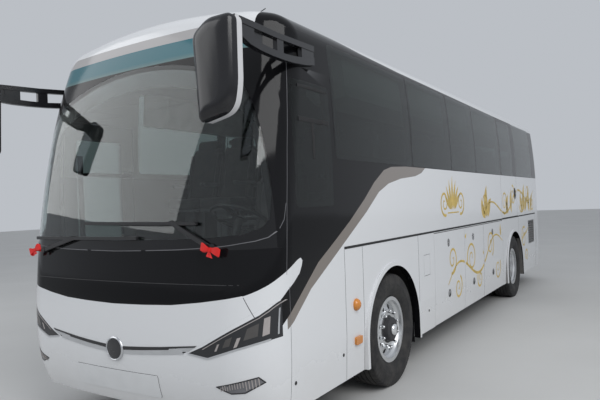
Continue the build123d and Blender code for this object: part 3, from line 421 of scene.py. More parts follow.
# The white horn that runs from the nose over the headlamp on to the side
horn_high = [(-2.060, 1.130), (-1.931, 1.194), (-1.839, 1.243), (-1.750, 1.286), (-1.652, 1.332),
             (-1.612, 1.343), (-1.590, 1.322)]
horn_low = [(-1.862, 1.076), (-1.849, 1.090), (-1.787, 1.140), (-1.710, 1.184), (-1.633, 1.238),
            (-1.600, 1.290), (-1.590, 1.322)]
horn_end = horn_high[-1][0]
corner_start, side_start = -2.055, -1.862
nose_half, nose_top = 1.02, 2.6


def livery():
    """White paint with the black band, the beige stripe, dark arches and a grey lining inside."""
    finish = Finish("coach_paint", rough=0.22, coat_weight=0.4, coat_roughness=0.06)
    x, y, z = finish.x, finish.y, finish.z
    plus, minus, times, most = finish.plus, finish.minus, finish.times, finish.most
    above, below, where = finish.above, finish.below, finish.where
    aside = finish.unsigned(x)
    behind = minus(y, front_y)
    over_black = above(z, finish.curve(behind, black_line))
    over_beige = above(z, finish.curve(behind, beige_line))
    lateral = above(aside, nose_half)
    under_horn = where(above(behind, side_start), over_black,
                       below(z, finish.curve(behind, horn_low)))
    past_horn = where(above(behind, horn_end), over_black)
    over_horn = where(above(behind, corner_start), below(behind, horn_end),
                      above(z, finish.curve(behind, horn_high)))
    over_nose = where(below(behind, corner_start), below(z, nose_top),
                      above(z, finish.curve(aside, nose_line)))
    dark = most(most(under_horn, past_horn), over_horn)
    dark = where(dark, below(z, finish.curve(behind, roof_line)), lateral)
    tail = where(above(behind, tail_seam), above(z, waist_z), below(z, roof_line[-1][1]))
    dark = most(most(dark, over_nose), tail)
    for axle_y in (front_y, rear_y):
        along, rise = minus(y, axle_y), most(minus(z, axle_z), 0.0)
        reach = plus(times(along, along), times(rise, rise))
        dark = most(dark, below(reach, arch_inside**2))
    stripe = where(over_beige, minus(1.0, over_black), below(behind, line_end),
                   above(behind, beige_line[0][0]), lateral)
    dust = times(finish.ramp(z, 0.75, 0.30), finish.noise(3.0, 5.0, 0.65))
    painted = finish.mix(times(dust, 0.30), white, (0.50, 0.47, 0.42))
    painted = finish.mix(stripe, painted, beige)
    painted = finish.mix(dark, painted, black)
    # The lining is where a face looks in towards the coach's middle
    nx, ny, nz = finish.split(finish.facing)
    outward = plus(times(nx, x), times(nz, minus(z, 1.7)))
    outward = plus(outward, times(ny, times(y, 0.3)))
    inner = where(below(outward, -0.02), below(aside, half_width - 0.0005))
    lining = finish.mix(above(z, waist_z), (0.13, 0.125, 0.12), (0.34, 0.34, 0.33))
    finish.set("Base Color", finish.mix(inner, painted, lining))
    matt = most(dark, inner)
    finish.set("Specular IOR Level", minus(0.5, times(matt, 0.3)))
    finish.set("Coat Weight", minus(0.4, times(matt, 0.4)))
    rough = minus(plus(times(dust, 0.35), 0.20), times(dark, 0.12))
    finish.set("Roughness", most(rough, times(inner, 0.7)))
    finish.bump(finish.noise(55.0, 2.0), 0.02, 0.0006)
    return finish.material


def part_white(name, colour, rough, line_points, low_points=None):
    """A dark lens or strip, white like the body above one line and below another."""
    finish = Finish(name, colour, rough, specular_ior_level=0.3)
    aside = finish.unsigned(finish.x)
    over = finish.where(finish.above(finish.z, finish.curve(aside, line_points)),
                        finish.below(finish.z, 1.2))
    if low_points:
        over = finish.most(over, finish.below(finish.z, finish.curve(aside, low_points)))
    finish.set("Base Color", finish.mix(over, colour, white))
    finish.bump(finish.noise(40.0, 2.0), 0.02, 0.0005)
    return finish.material


def header():
    """Black pillars; over the windscreen a teal sun band under a pale cap."""
    finish = Finish("windscreen_header", black, 0.08, specular_ior_level=0.2)
    width = finish.below(finish.unsigned(finish.x), nose_half)
    band = finish.where(width, finish.above(finish.z, 2.822))
    cap = finish.where(width, finish.above(finish.z, 2.978))
    teal = finish.mix(finish.ramp(finish.z, 2.82, 2.86), (0.12, 0.19, 0.19), (0.05, 0.15, 0.18))
    colour = finish.mix(band, black, teal)
    finish.set("Base Color", finish.mix(cap, colour, (0.40, 0.39, 0.39)))
    finish.bump(finish.noise(40.0, 2.0), 0.015, 0.0005)
    return finish.material


def mirror_shell():
    """Black housings with a pale rim round their backs."""
    finish = Finish("mirror_shell", black, 0.20, specular_ior_level=0.45)
    nx, ny, _ = finish.split(finish.facing)
    outer = finish.above(finish.times(nx, finish.sign(finish.x)), -0.35)
    rim = finish.where(finish.above(finish.y, cad_low.y + 0.080),
                       finish.below(finish.y, cad_low.y + 0.128), finish.below(finish.z, 2.83),
                       outer, finish.below(finish.unsigned(ny), 0.6))
    tone = finish.ramp(finish.noise(9.0, 3.0), 0.3, 0.7, 0.0, 0.02)
    shell = finish.mix(tone, (0.012, 0.012, 0.014), (0.10, 0.10, 0.11))
    finish.set("Base Color", finish.mix(rim, shell, (0.55, 0.55, 0.56)))
    finish.bump(finish.noise(180.0, 2.0), 0.03, 0.0006)
    return finish.material


def plain(name, colour, rough, metal=0.0, grain=220.0, depth=0.08, vary=0.12, **values):
    """A finish with fine grain and a slight change of tone."""
    finish = Finish(name, colour, rough, metal, **values)
    tone = finish.ramp(finish.noise(7.0, 4.0), 0.3, 0.7, 1.0 - vary, 1.0 + vary)
    lit = finish.node("ShaderNodeVectorMath", {0: colour, 3: tone}, operation="SCALE")
    finish.set("Base Color", lit.outputs[0])
    finish.set("Roughness", finish.ramp(finish.noise(24.0, 3.0), 0.25, 0.75,
                                        max(rough - 0.06, 0.02), min(rough + 0.08, 1.0)))
    if depth:
        finish.bump(finish.noise(grain, 2.0), depth, 0.001)
    return finish.material


def screen():
    """Clear windscreen with a black ceramic edge below, which rises towards the corners."""
    finish = Finish("screen_glass", (0.70, 0.76, 0.75), 0.0, transmission_weight=1.0, ior=1.45)
    aside = finish.unsigned(finish.x)
    low = finish.curve(aside, [(0.0, 1.50), (0.85, 1.51), (1.10, 1.53), (1.19, 1.57),
                               (1.225, 1.63), (1.245, 1.75)])
    edge = finish.most(finish.below(finish.z, low), finish.above(aside, 1.222))
    clear = finish.mix(finish.ramp(finish.z, 2.55, 2.82), (0.68, 0.74, 0.73), (0.60, 0.70, 0.70))
    finish.set("Base Color", finish.mix(edge, clear, black))
    finish.set("Transmission Weight", finish.minus(1.0, edge))
    finish.bump(finish.noise(1.3, 1.0), 0.05, 0.004)
    return finish.material


def tinted():
    """Green-grey side glass, slightly uneven."""
    finish = Finish("tinted_glass", (0.15, 0.19, 0.18), 0.0, transmission_weight=1.0, ior=1.35)
    finish.bump(finish.noise(1.1, 1.0), 0.06, 0.004)
    return finish.material


def wheel_metal():
    finish = Finish("polished_rim", (0.74, 0.75, 0.76), 0.3, 1.0)
    finish.set("Roughness", finish.ramp(finish.noise(30.0, 4.0), 0.3, 0.8, 0.27, 0.42))
    finish.bump(finish.noise(18.0, 2.0, 0.5, (40.0, 1.0, 1.0)), 0.04, 0.0005)
    return finish.material


def rubber():
    finish = Finish("tyre_rubber", (0.020, 0.020, 0.021), 0.82)
    dust = finish.ramp(finish.noise(9.0, 5.0, 0.7), 0.42, 0.75)
    finish.set("Base Color", finish.mix(dust, (0.016, 0.016, 0.017), (0.050, 0.047, 0.043)))
    finish.bump(finish.noise(160.0, 3.0), 0.12, 0.001)
    return finish.material


def fabric():
    finish = Finish("seat_fabric", (0.10, 0.095, 0.10), 0.92, sheen_weight=0.35)
    weave = finish.node("ShaderNodeTexWave", {"Vector": finish.place, "Scale": 260.0,
                                              "Distortion": 1.5}).outputs[1]
    tone = finish.noise(14.0, 4.0)
    finish.set("Base Color", finish.mix(tone, (0.075, 0.070, 0.078), (0.15, 0.135, 0.13)))
    finish.bump(weave, 0.25, 0.001)
    return finish.material


paint = livery()
rim_metal = wheel_metal()
tyre_rubber = rubber()
seat_cloth = fabric()
roof_white = plain("roof_white", (0.64, 0.65, 0.66), 0.35, vary=0.04)
satin_black = plain("satin_black", (0.018, 0.018, 0.020), 0.42)
seal_black = plain("seal_black", (0.010, 0.010, 0.011), 0.65)
plastic_grey = plain("plastic_grey", (0.20, 0.20, 0.21), 0.6)
trim_pale = plain("trim_pale", (0.52, 0.52, 0.50), 0.6)
floor_grey = plain("floor_grey", (0.16, 0.16, 0.17), 0.7, grain=90.0, depth=0.15)
chassis_black = plain("chassis_black", (0.030, 0.030, 0.033), 0.55, grain=60.0)
liner_black = plain("liner_black", (0.012, 0.012, 0.013), 0.85, grain=50.0, depth=0.3)
iron = plain("iron", (0.10, 0.10, 0.10), 0.6, 0.6, grain=70.0, depth=0.3)
chrome = plain("chrome", (0.86, 0.87, 0.88), 0.08, 1.0, depth=0.0, vary=0.03)
satin_metal = plain("satin_metal", (0.60, 0.61, 0.63), 0.32, 1.0, depth=0.02, vary=0.05)
gold = plain("gold_film", (0.58, 0.41, 0.09), 0.36, 0.15, depth=0.0, vary=0.20)
louvre_grey = plain("louvre_grey", (0.17, 0.17, 0.17), 0.5, grain=80.0)
amber = plain("amber_lens", (0.58, 0.21, 0.03), 0.2, depth=0.0, coat_weight=0.4)
red_lens = plain("red_lens", (0.42, 0.012, 0.012), 0.14, depth=0.0, coat_weight=0.6)
seam_grey = plain("seam_grey", (0.045, 0.045, 0.048), 0.7, depth=0.0)
seam_pale = plain("seam_pale", (0.13, 0.13, 0.14), 0.5, depth=0.0)
plate_white = plain("plate_white", (0.66, 0.67, 0.68), 0.4, grain=120.0, vary=0.03)
lamp_dark = plain("lamp_dark", (0.030, 0.031, 0.034), 0.22, depth=0.0)
lamp_mid = plain("lamp_mid", (0.070, 0.066, 0.064), 0.12, depth=0.0)
lamp_light = plain("lamp_light", (0.36, 0.33, 0.32), 0.25, depth=0.0)
lamp_grey = plain("lamp_grey", (0.15, 0.15, 0.16), 0.2, depth=0.0)
bow_red = plain("bow_red", (0.70, 0.012, 0.010), 0.6, grain=300.0)
mirror_glass = plain("mirror_glass", (0.82, 0.85, 0.88), 0.02, 1.0, depth=0.0, vary=0.01)

# Upper and lower edges of the headlamp's lens and the nose strip: (from the middle, height)
lens_line = [(0.66, 0.733), (0.81, 0.798), (0.99, 0.897), (1.10, 0.957), (1.18, 1.004),
             (1.22, 1.040), (1.27, 1.100)]
strip_line = [(0.0, 0.739), (0.14, 0.747), (0.45, 0.768), (0.80, 0.800)]
strip_low_line = [(0.0, 0.50), (0.40, 0.60), (0.46, 0.716), (0.640, 0.740), (0.80, 0.790)]


def dress(material, *names):
    """Gives CAD nodes their material."""
    for name in names:
        mesh = nodes[name]
        if not mesh.material_slots:
            mesh.data.materials.append(material)
        for slot in mesh.material_slots:
            slot.material = material


dress(paint, "front_bumper", "roof", "rear_wall", "engine_door", "fuel_flap", "emergency_door",
      "passenger_door", "front_panel",
      *[f"{kind}_{side}" for kind in ("side_wall", "cab_side") for side in sides],
      *[f"luggage_door_{side}_{n}" for side in sides for n in (1, 2, 3)])
dress(header(), "front_pillars")
dress(roof_white, "air_conditioner", "roof_hatches")
dress(screen(), "windscreen")
dress(tinted(), "window_panes", "emergency_door_glass", "passenger_door_glass")
dress(satin_black, "wipers", "mudflaps", "aerial", "steering_wheel")
dress(louvre_grey, "engine_grilles")
dress(plastic_grey, "dashboard")
dress(trim_pale, "luggage_racks")
dress(floor_grey, "deck")
dress(chassis_black, "underframe", "luggage_hold", "front_axle", "rear_axle", "knuckle_left",
      "knuckle_right", "door_arm", "door_bracket")
dress(liner_black, "wheel_housings")
dress(iron, "engine")
dress(rim_metal, *[f"{rims}_{side}" for rims in ("front_rim", "rear_rims") for side in sides])
dress(red_lens, "tail_lamps")
dress(part_white("headlamp_glass", (0.030, 0.031, 0.034), 0.16, lens_line), "headlamps")
dress(part_white("nose_strip_black", (0.012, 0.012, 0.013), 0.16, strip_line, strip_low_line),
      "nose_strip")
dress(lamp_grey, "fog_lamps")


# Tyres with grooved treads, flat where they stand
tread_half = 0.122
tyre_half = 0.1475
bead_radius = 0.302
groove_deep = 0.012
groove_half = 0.005
groove_bevel = 0.0015
groove_places = (-0.072, -0.025, 0.025, 0.072)
crown_drop = 0.006
# Each shoulder block takes four steps round the tyre; the first two lie in the cut before it
shoulder_blocks = 64
shoulder_cut = 0.007
block_steps = (0, 0.12, 1.0, 3.6)

# Rows of the tyre from one bead to the other: across, radius, cut into blocks
flank = [(-0.104, bead_radius + 0.001), (-0.116, bead_radius + 0.014),
         (-0.128, bead_radius + 0.030), (-0.140, bead_radius + 0.062),
         (-0.1465, bead_radius + 0.098), (-0.1450, bead_radius + 0.100),
         (-tyre_half, bead_radius + 0.108), (-tyre_half + 0.001, bead_radius + 0.128),
         (-0.1455, bead_radius + 0.131), (-0.1425, bead_radius + 0.160)]
shoulder = [(-0.1385, tyre_radius - 0.040), (-0.1355, tyre_radius - 0.018),
            (-0.129, tyre_radius - 0.009), (-tread_half + 0.004, tyre_radius - 0.006)]
half_rows = [(a, r, False) for a, r in flank] + [(a, r, True) for a, r in shoulder]
crown_rows = []
for groove in groove_places:
    rise = tyre_radius - crown_drop * (abs(groove) / tread_half) ** 2
    for across, radius in ((-groove_half - groove_bevel, rise), (-groove_half, rise - groove_deep),
                           (groove_half, rise - groove_deep), (groove_half + groove_bevel, rise)):
        crown_rows.append((groove + across, radius, False))
tyre_rows = half_rows + crown_rows + [(-a, r, cut) for a, r, cut in reversed(half_rows)]


def tyre(shape, x, y):
    """One tyre; the shoulders are cut into blocks."""
    steps, count = shoulder_blocks * 4, len(tyre_rows)
    vertices, faces = [], []
    for step in range(steps):
        quarter = step % 4
        turn = math.tau * (step - quarter + block_steps[quarter]) / steps
        cut = shoulder_cut if quarter < 2 else 0.0
        for across, radius, blocks in tyre_rows:
            size = radius - (cut if blocks else 0.0)
            height = max(axle_z + size * math.sin(turn), 0.0)
            vertices.append((x + across, y + size * math.cos(turn), height))
        after = (step + 1) % steps
        faces += [(step * count + row, after * count + row, after * count + (row + 1) % count,
                   step * count + (row + 1) % count) for row in range(count)]
    shape.add(vertices, faces)


for side, sign in sides.items():
    for name, body, node, y, shifts in (
            ("tyre_front", "front_wheel", "front_tyre", front_y, (0,)),
            ("tyres_rear", "rear_wheels", "rear_tyres", rear_y, (0, dual_spacing))):
        tyres = Shape()
        for shift in shifts:
            tyre(tyres, sign * (tyre_middle_x - shift), y)
        worn = tyres.finish(f"{name}_{side}", tyre_rubber, f"{body}_{side}", "tyre_rubber")
        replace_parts(worn, f"{node}_{side}")


# Wheel nuts and hub trim
nut_ring, nut_count = 0.1675, 10
nut_profile = [(0.0, 0.0), (0.0, 0.021), (0.006, 0.020), (0.007, 0.0165), (0.032, 0.0155),
               (0.040, 0.011), (0.043, 0.0)]
cap_profile = [(0.0, 0.0), (0.0, 0.055), (0.012, 0.052), (0.020, 0.044), (0.026, 0.0)]
drum_profile = [(0.0, 0.0), (0.0, 0.128), (0.006, 0.128), (0.010, 0.116), (0.046, 0.110),
                (0.054, 0.100), (0.056, 0.060), (0.050, 0.0)]
front_face = tyre_middle_x + 0.082
rear_face = tyre_middle_x - dual_spacing / 2 + 0.010


def nuts(shape, x, y, sign):
    for number in range(nut_count):
        turn = math.tau * (number + 0.5) / nut_count
        centre = (x, y + nut_ring * math.cos(turn), axle_z + nut_ring * math.sin(turn))
        shape.lathe(nut_profile, centre, (sign, 0, 0), 12)


for side, sign in sides.items():
    body, outward = f"front_wheel_{side}", (sign, 0, 0)
    hub, drum, rear_hub = Shape(), Shape(), Shape()
    nuts(hub, sign * front_face, front_y, sign)
    hub.lathe(cap_profile, (sign * (tyre_middle_x + 0.1445), front_y, axle_z), outward, 32)
    hub.finish(f"wheel_nuts_front_{side}", chrome, body, "polished_rim")
    drum.lathe(drum_profile, (sign * front_face, front_y, axle_z), outward, 40)
    drum.finish(f"hub_drum_front_{side}", chassis_black, body, "frame_steel")
    nuts(rear_hub, sign * rear_face, rear_y, sign)
    rear_hub.finish(f"wheel_nuts_rear_{side}", chrome, f"rear_wheels_{side}", "polished_rim")


# Black moulding, panel seams, lamps, locks and catches of the sides
moulding_start = {1: -0.96, -1: -0.80}
panel_seams = {1: (-0.963, -0.640, 0.666), -1: (-0.640, 0.666)}
marker_profile = [(0.0, 0.0), (0.0, 0.050), (0.012, 0.049), (0.026, 0.040), (0.037, 0.024),
                  (0.041, 0.0)]
lock_profile = [(0.0, 0.0), (0.0, 0.014), (0.003, 0.013), (0.004, 0.006), (0.002, 0.0)]
catch_profile = [(-0.003, 0.0), (-0.003, 0.046), (0.0065, 0.046), (0.008, 0.043),
                 (0.006, 0.037), (0.001, 0.033), (0.001, 0.0)]
for side, sign in sides.items():
    place = on_side(sign)
    moulding, seams, lamps, locks = Shape(), Shape(), Shape(), Shape()
    moulding.ribbon(line((moulding_start[sign], trim_z), (tail_seam, trim_z)), 0.021, place, 0.004)
    moulding.finish(f"side_moulding_{side}", seal_black, "coach", "black_plastic")
    for y in (*panel_seams[sign], bay_seam, tail_seam):
        seams.ribbon(line((y, skirt_z + 0.004), (y, trim_z - 0.012)), 0.005, place, 0.0006)
    seams.finish(f"panel_seams_{side}", seam_grey, "coach", "black_plastic")
    lamps.lathe(marker_profile, *place(-0.789, 0.878), 32)
    lamps.patch(rounded((-0.825, -0.715), (0.553, 0.617), 0.014), place, 0.020, 0.02)
    lamps.finish(f"marker_lamps_{side}", amber, "coach", "lamp_lens")
    for y, z in ((-1.017, 0.520), (-1.715, 0.500), (0.945, 0.520)):
        found = place(y, z)
        if found and (sign > 0 or y > -0.8):
            locks.lathe(lock_profile, *found, 20)
    locks.finish(f"panel_locks_{side}", satin_black, "coach", "black_plastic")
    for number in range(3):
        y = front_y + ((hold_seams[number] + hold_seams[number + 1]) / 2 - 0.075)
        catches = Shape()
        for z, inset in ((0.600, 0.0135), (1.192, 0.006)):
            x = sign * (half_width - inset)
            catches.lathe(catch_profile, (x, y, z), (sign, 0, 0), 32)
            near, far = sorted((x, x + sign * 0.008))
            catches.block((near, y - 0.011, z - 0.035), (far, y + 0.011, z + 0.035), 0.003)
        catches.finish(f"hold_catches_{side}_{number + 1}", satin_black,
                       f"hold_lid_{side}_{number + 1}", "black_plastic")


# Grip of the emergency door and the bars of the driver's window
grip, bars = Shape(), Shape()
place = on_side(1)
grip.patch(rounded((5.365, 5.475), (1.655, 1.850), 0.052), place, 0.004, 0.02)
grip.ribbon(line((5.42, 1.700), (5.42, 1.805), 0.02), 0.034, place, 0.012, 0.004)
grip.finish("emergency_grip", satin_black, "emergency_door_leaf", "black_plastic")
for a, b, wide in (((-1.560, 2.320), (-1.130, 2.320), 0.036),
                   ((-1.540, 2.560), (-1.130, 2.560), 0.026),
                   ((-1.366, 2.300), (-1.366, 2.040), 0.030)):
    bars.ribbon(line(a, b, 0.04), wide, place, 0.004)
bars.finish("driver_window_bars", seal_black, "coach", "black_plastic")


# Gold scrollwork over the rear of the sides, in plain traditional scrolls
def side_body(y, z, sign):
    """The body that carries a point of the side, or None near a seam or an opening."""
    edge = 0.014
    for number in range(3):
        a, b = hold_seams[number] + 0.004, hold_seams[number + 1] - 0.004
        if a - edge < y < b + edge and z < hold_high + edge:
            within = a + edge < y < b - edge and hold_low + edge < z < hold_high - edge
            side = "left" if sign > 0 else "right"
            return f"hold_lid_{side}_{number + 1}" if within else None
    a, b, low, high = emergency
    if sign > 0 and a - edge < y < b + edge and low - edge < z < high + edge:
        within = a + edge < y < b - edge and low + edge < z < high - edge
        return "emergency_door_leaf" if within else None
    if louvre[0] - edge < y < louvre[1] + edge and louvre[2] - edge < z < louvre[3] + edge:
        return None
    at_arch = math.dist((y, z), (rear_y - front_y, axle_z)) < arch_radius + 0.03
    if at_arch or z < skirt_z + 0.02 or abs(z - trim_z) < 0.022:
        return None
    return None if y > tail_seam - 0.01 or abs(y - bay_seam) < 0.012 else "coach"


def spiral(centre, radius, turns, phase, hand):
    """A scroll that winds inwards; phase is where it starts, in degrees."""
    count = 70
    path = []
    for i in range(count + 1):
        share = i / count
        size = radius * (1 - share) ** 0.8 * 0.92 + radius * 0.08
        turn = math.radians(phase) + hand * math.tau * turns * share
        path.append((centre[0] + size * math.cos(turn), centre[1] + size * math.sin(turn)))
    return path


def wave(start, end, swing, waves):
    """A stem that swings from side to side on its way."""
    count = 160
    run = Vector(end) - Vector(start)
    across = Vector((-run.y, run.x)).normalized()
    return [tuple(Vector(start) + run * (i / count)
                  + across * swing * math.sin(math.tau * waves * i / count))
            for i in range(count + 1)]


def leaf(foot, length, width, direction):
    """Middle line and widths of a bent leaf."""
    count = 14
    turn = math.radians(direction)
    ahead = Vector((math.cos(turn), math.sin(turn)))
    across = Vector((-math.sin(turn), math.cos(turn)))
    path, widths = [], []
    for i in range(count + 1):
        share = i / count
        swell = math.sin(math.pi * share ** 0.8) * width / 2
        bend = across * math.sin(math.pi * share) * width * 0.25
        centre = Vector(foot) + ahead * length * share + bend
        left, right = centre + across * swell, centre - across * swell
        path.append(tuple((left + right) / 2))
        widths.append((left - right).length)
    return path, widths


# Scrolls: middle, radius, turns, start angle, hand
scrolls = [((1.80, 0.98), 0.17, 1.5, 250, 1), ((2.02, 0.62), 0.15, 1.4, 60, -1),
           ((2.62, 0.92), 0.21, 1.6, 200, -1), ((3.02, 0.60), 0.13, 1.3, 150, 1),
           ((3.62, 1.02), 0.20, 1.6, 300, 1), ((4.05, 0.62), 0.17, 1.4, 40, -1),
           ((3.42, 1.62), 0.16, 1.5, 270, -1), ((4.62, 1.62), 0.20, 1.6, 230, 1),
           ((5.25, 1.72), 0.17, 1.5, 100, -1), ((5.95, 1.62), 0.22, 1.7, 200, 1),
           ((6.55, 1.75), 0.19, 1.5, 320, -1), ((6.05, 0.95), 0.20, 1.5, 60, 1),
           ((6.28, 0.60), 0.13, 1.3, 200, -1), ((6.95, 1.55), 0.15, 1.4, 120, 1),
           ((1.58, 1.66), 0.15, 1.6, 290, -1), ((2.22, 1.66), 0.15, 1.6, 250, 1)]
# Stems: start, end, swing, waves
stems = [((1.62, 0.70), (4.36, 1.02), 0.17, 1.5), ((5.66, 0.62), (6.46, 1.24), 0.10, 0.8),
         ((3.25, 1.45), (7.10, 1.80), 0.14, 2.0)]
# Leaves: foot, length, width, direction in degrees
leaves = [((3.48, 1.42), 0.46, 0.20, 86), ((3.54, 1.42), 0.34, 0.16, 52),
          ((3.40, 1.42), 0.34, 0.16, 124), ((4.75, 1.43), 0.34, 0.13, 66),
          ((4.86, 1.43), 0.32, 0.13, 112), ((5.10, 1.43), 0.40, 0.14, 88),
          ((6.15, 1.42), 0.50, 0.20, 82), ((6.24, 1.42), 0.38, 0.17, 46),
          ((6.06, 1.42), 0.38, 0.17, 120), ((6.66, 1.40), 0.48, 0.18, 98),
          ((6.80, 1.40), 0.40, 0.16, 62), ((2.30, 1.08), 0.20, 0.08, 60),
          ((3.30, 0.80), 0.20, 0.08, 120), ((4.28, 1.10), 0.18, 0.08, 95)]
# A palmette: a fan of leaves over a bar
fan_y, fan_z, fan_size = 1.90, 1.72, 0.40
leaves += [((fan_y + n * fan_size * 0.06, fan_z - fan_size * 0.35),
            fan_size * (1.0 - 0.07 * abs(n)), fan_size * 0.17, 90 - n * 17) for n in range(-3, 4)]
fan_bar = line((fan_y - fan_size * 0.55, fan_z - fan_size * 0.45),
               (fan_y + fan_size * 0.55, fan_z - fan_size * 0.45), 0.02)

strokes = []
for row in scrolls:
    path = spiral(*row)
    strokes.append((path, [0.034 - 0.018 * i / len(path) for i in range(len(path))]))
for row in stems:
    path = wave(*row)
    strokes.append((path, [0.016 + 0.022 * math.sin(math.pi * i / len(path))
                           for i in range(len(path))]))
strokes += [leaf(*row) for row in leaves] + [(fan_bar, [0.016] * len(fan_bar))]

for side, sign in sides.items():
    place = on_side(sign)
    shapes = {}
    for path, widths in strokes:
        for body, run in groupby(zip(path, widths), lambda spot: side_body(*spot[0], sign)):
            points, wide = zip(*run)
            if body and len(points) > 2:
                shapes.setdefault(body, Shape()).ribbon(points, [max(w, 0.003) for w in wide],
                                                        place, 0.0009)
    for body, shape in shapes.items():
        if shape.faces:
            shape.finish(f"scrollwork_{side}_{body}", gold, body, "white_paint")


# Nose: lamps, strip, plate and plain round emblem
def mirrored(outline):
    return [(-x, z) for x, z in reversed(outline)]


def nose_pair(name, outlines, material, lift, thick, slot, step=0.025):
    """One piece of plates on both halves of the nose."""
    shape = Shape()
    for outline in outlines:
        shape.patch(outline, on_nose, thick, step, lift)
        shape.patch(mirrored(outline), on_nose, thick, step, lift)
    shape.finish(name, material, "coach", slot)


nose_pair("headlamp_strips",
          [[(1.040, 0.803), (1.062, 0.812), (1.086, 0.872), (1.064, 0.866)],
           [(1.192, 0.868), (1.221, 0.880), (1.226, 0.992), (1.202, 0.982)],
           [(0.905, 0.775), (0.920, 0.778), (0.944, 0.826), (0.929, 0.822)]],
          lamp_light, 0.0004, 0.002, "lamp_lens")
inner_line = Shape()
lens_low = [(x, z - 0.017) for x, z in lens_line[1:]]
for sign in (1, -1):
    for stretch in stretches(lens_low, sign, 0.02):
        inner_line.ribbon(stretch, 0.005, on_nose, 0.0012, 0.0008)
inner_line.finish("headlamp_inner_lines", lamp_light, "coach", "lamp_lens")
nose_pair("headlamp_edges",
          [[(0.690, 0.750), (0.849, 0.729), (1.050, 0.797), (1.225, 0.848), (1.225, 0.836),
            (1.050, 0.785), (0.849, 0.716), (0.690, 0.740)],
           [(1.247, 0.868), (1.252, 0.870), (1.257, 1.040), (1.253, 1.035)]],
          satin_metal, 0.0006, 0.003, "polished_rim")
nose_pair("headlamp_reflectors",
          [[(1.100, 0.850), (1.172, 0.872), (1.180, 0.955), (1.122, 0.925)],
           [(0.965, 0.800), (1.015, 0.815), (1.035, 0.875), (0.990, 0.855)]],
          lamp_mid, 0.0004, 0.0015, "lamp_lens")

# Ribs of the fog lamps, which follow the slanted lens
fog, rims = Shape(), Shape()
fog_edge = [(0.893, 0.536), (1.161, 0.604), (1.188, 0.566), (1.084, 0.505), (0.998, 0.498)]
fog_corner = fog_edge[3][0]
for sign in (1, -1):
    for number in range(15):
        share = number / 14
        x = 0.925 + 0.235 * share
        low = 0.510 + 0.05 * share if x < fog_corner else 0.507 + (x - fog_corner) * 0.55
        high = 0.546 + (x - 0.93) * 0.23
        if high - low > 0.012:
            fog.ribbon(line((sign * x, low), (sign * x, high), 0.01), 0.006, on_nose, 0.003, 0.0003)
fog.finish("fog_lamp_ribs", lamp_light, "coach", "lamp_lens")
for outline in (fog_edge, mirrored(fog_edge)):
    rims.ribbon(round_trip(outline, 0.02), 0.008, on_nose, 0.003)
rims.finish("fog_lamp_edges", satin_black, "coach", "black_plastic")

nose_pair("nose_bright_strip",
          [[(0.085, 0.690), (0.280, 0.702), (0.450, 0.717), (0.655, 0.739), (0.745, 0.788),
            (0.660, 0.779), (0.530, 0.765), (0.530, 0.757), (0.300, 0.735), (0.085, 0.717)]],
          satin_metal, 0.0, 0.004, "polished_rim", 0.02)
nose_pair("nose_dark_strip",
          [[(0.085, 0.719), (0.300, 0.737), (0.528, 0.757), (0.528, 0.767), (0.660, 0.781),
            (0.750, 0.790), (0.765, 0.801), (0.660, 0.791), (0.528, 0.778), (0.450, 0.770),
            (0.300, 0.758), (0.085, 0.743)]], satin_black, 0.0, 0.003, "black_plastic", 0.02)
emblem_spot, _ = on_nose(0.0, 0.719)
emblem_ring = [(-0.012, 0.0), (-0.012, 0.090), (0.004, 0.090), (0.010, 0.086), (0.012, 0.080),
               (0.010, 0.076), (0.004, 0.074), (0.004, 0.0)]
emblem_disc = [(0.0042, 0.0), (0.0042, 0.0735), (0.0080, 0.072), (0.0095, 0.065),
               (0.0125, 0.045), (0.0140, 0.022), (0.0144, 0.0)]
for name, profile, material, slot in (("emblem_ring", emblem_ring, satin_metal, "polished_rim"),
                                      ("emblem_disc", emblem_disc, lamp_dark, "black_gloss")):
    emblem = Shape()
    emblem.lathe(profile, emblem_spot, (0, -1, 0), 64)
    emblem.finish(name, material, "coach", slot)

plate, seams = Shape(), Shape()
plate_outline = rounded((-0.470, 0.400), (0.400, 0.560), 0.012)
plate.patch(plate_outline, on_nose, 0.006, 0.03)
plate.finish("blank_plate", plate_white, "coach", "white_paint")
seams.ribbon(round_trip(plate_outline, 0.03), 0.006, on_nose, 0.0012)
for sign in (1, -1):
    seams.ribbon(line((sign * 1.103, 1.125), (sign * 1.160, 0.992), 0.02), 0.004, on_nose, 0.0006)
seams.ribbon(line((-1.08, 1.205), (1.08, 1.205), 0.05), 0.004, on_nose, 0.0008)
seams.finish("nose_seams", seam_grey, "coach", "black_plastic")

# Pale seams: under the windscreen, up round its corners and down the corner of the body
screen_seam = [(0.0, 1.425), (0.30, 1.429), (0.60, 1.435), (0.90, 1.450), (1.019, 1.462),
               (1.161, 1.484), (1.216, 1.504), (1.245, 1.540)]
corner_seam = [(-1.787, 1.245), (-1.772, 1.409), (-1.744, 1.745), (-1.707, 2.086),
               (-1.654, 2.438), (-1.600, 2.750)]
pale = Shape()
for sign in (1, -1):
    place = on_side(sign)
    for stretch in stretches(screen_seam, sign, 0.015):
        pale.ribbon(stretch, 0.006, on_nose, 0.0014, 0.0022)
    pale.ribbon([(-1.823, 1.558), (-1.781, 1.615), (-1.754, 1.726)], 0.005, place, 0.0012)
    for stretch in stretches(corner_seam, 1, 0.06):
        pale.ribbon(stretch, 0.004, place, 0.0008)
    pale.ribbon(line((-1.765, 0.330), (-1.765, 1.160), 0.06), 0.004, place, 0.0006)
pale.finish("corner_seams", seam_pale, "coach", "black_plastic")


# Tail: slats and catches of the engine lid, fields of the lamps, bumper seam
def on_half(outline, sign):
    """An outline on one half of the tail."""
    return [(sign * x, z) for x, z in outline]


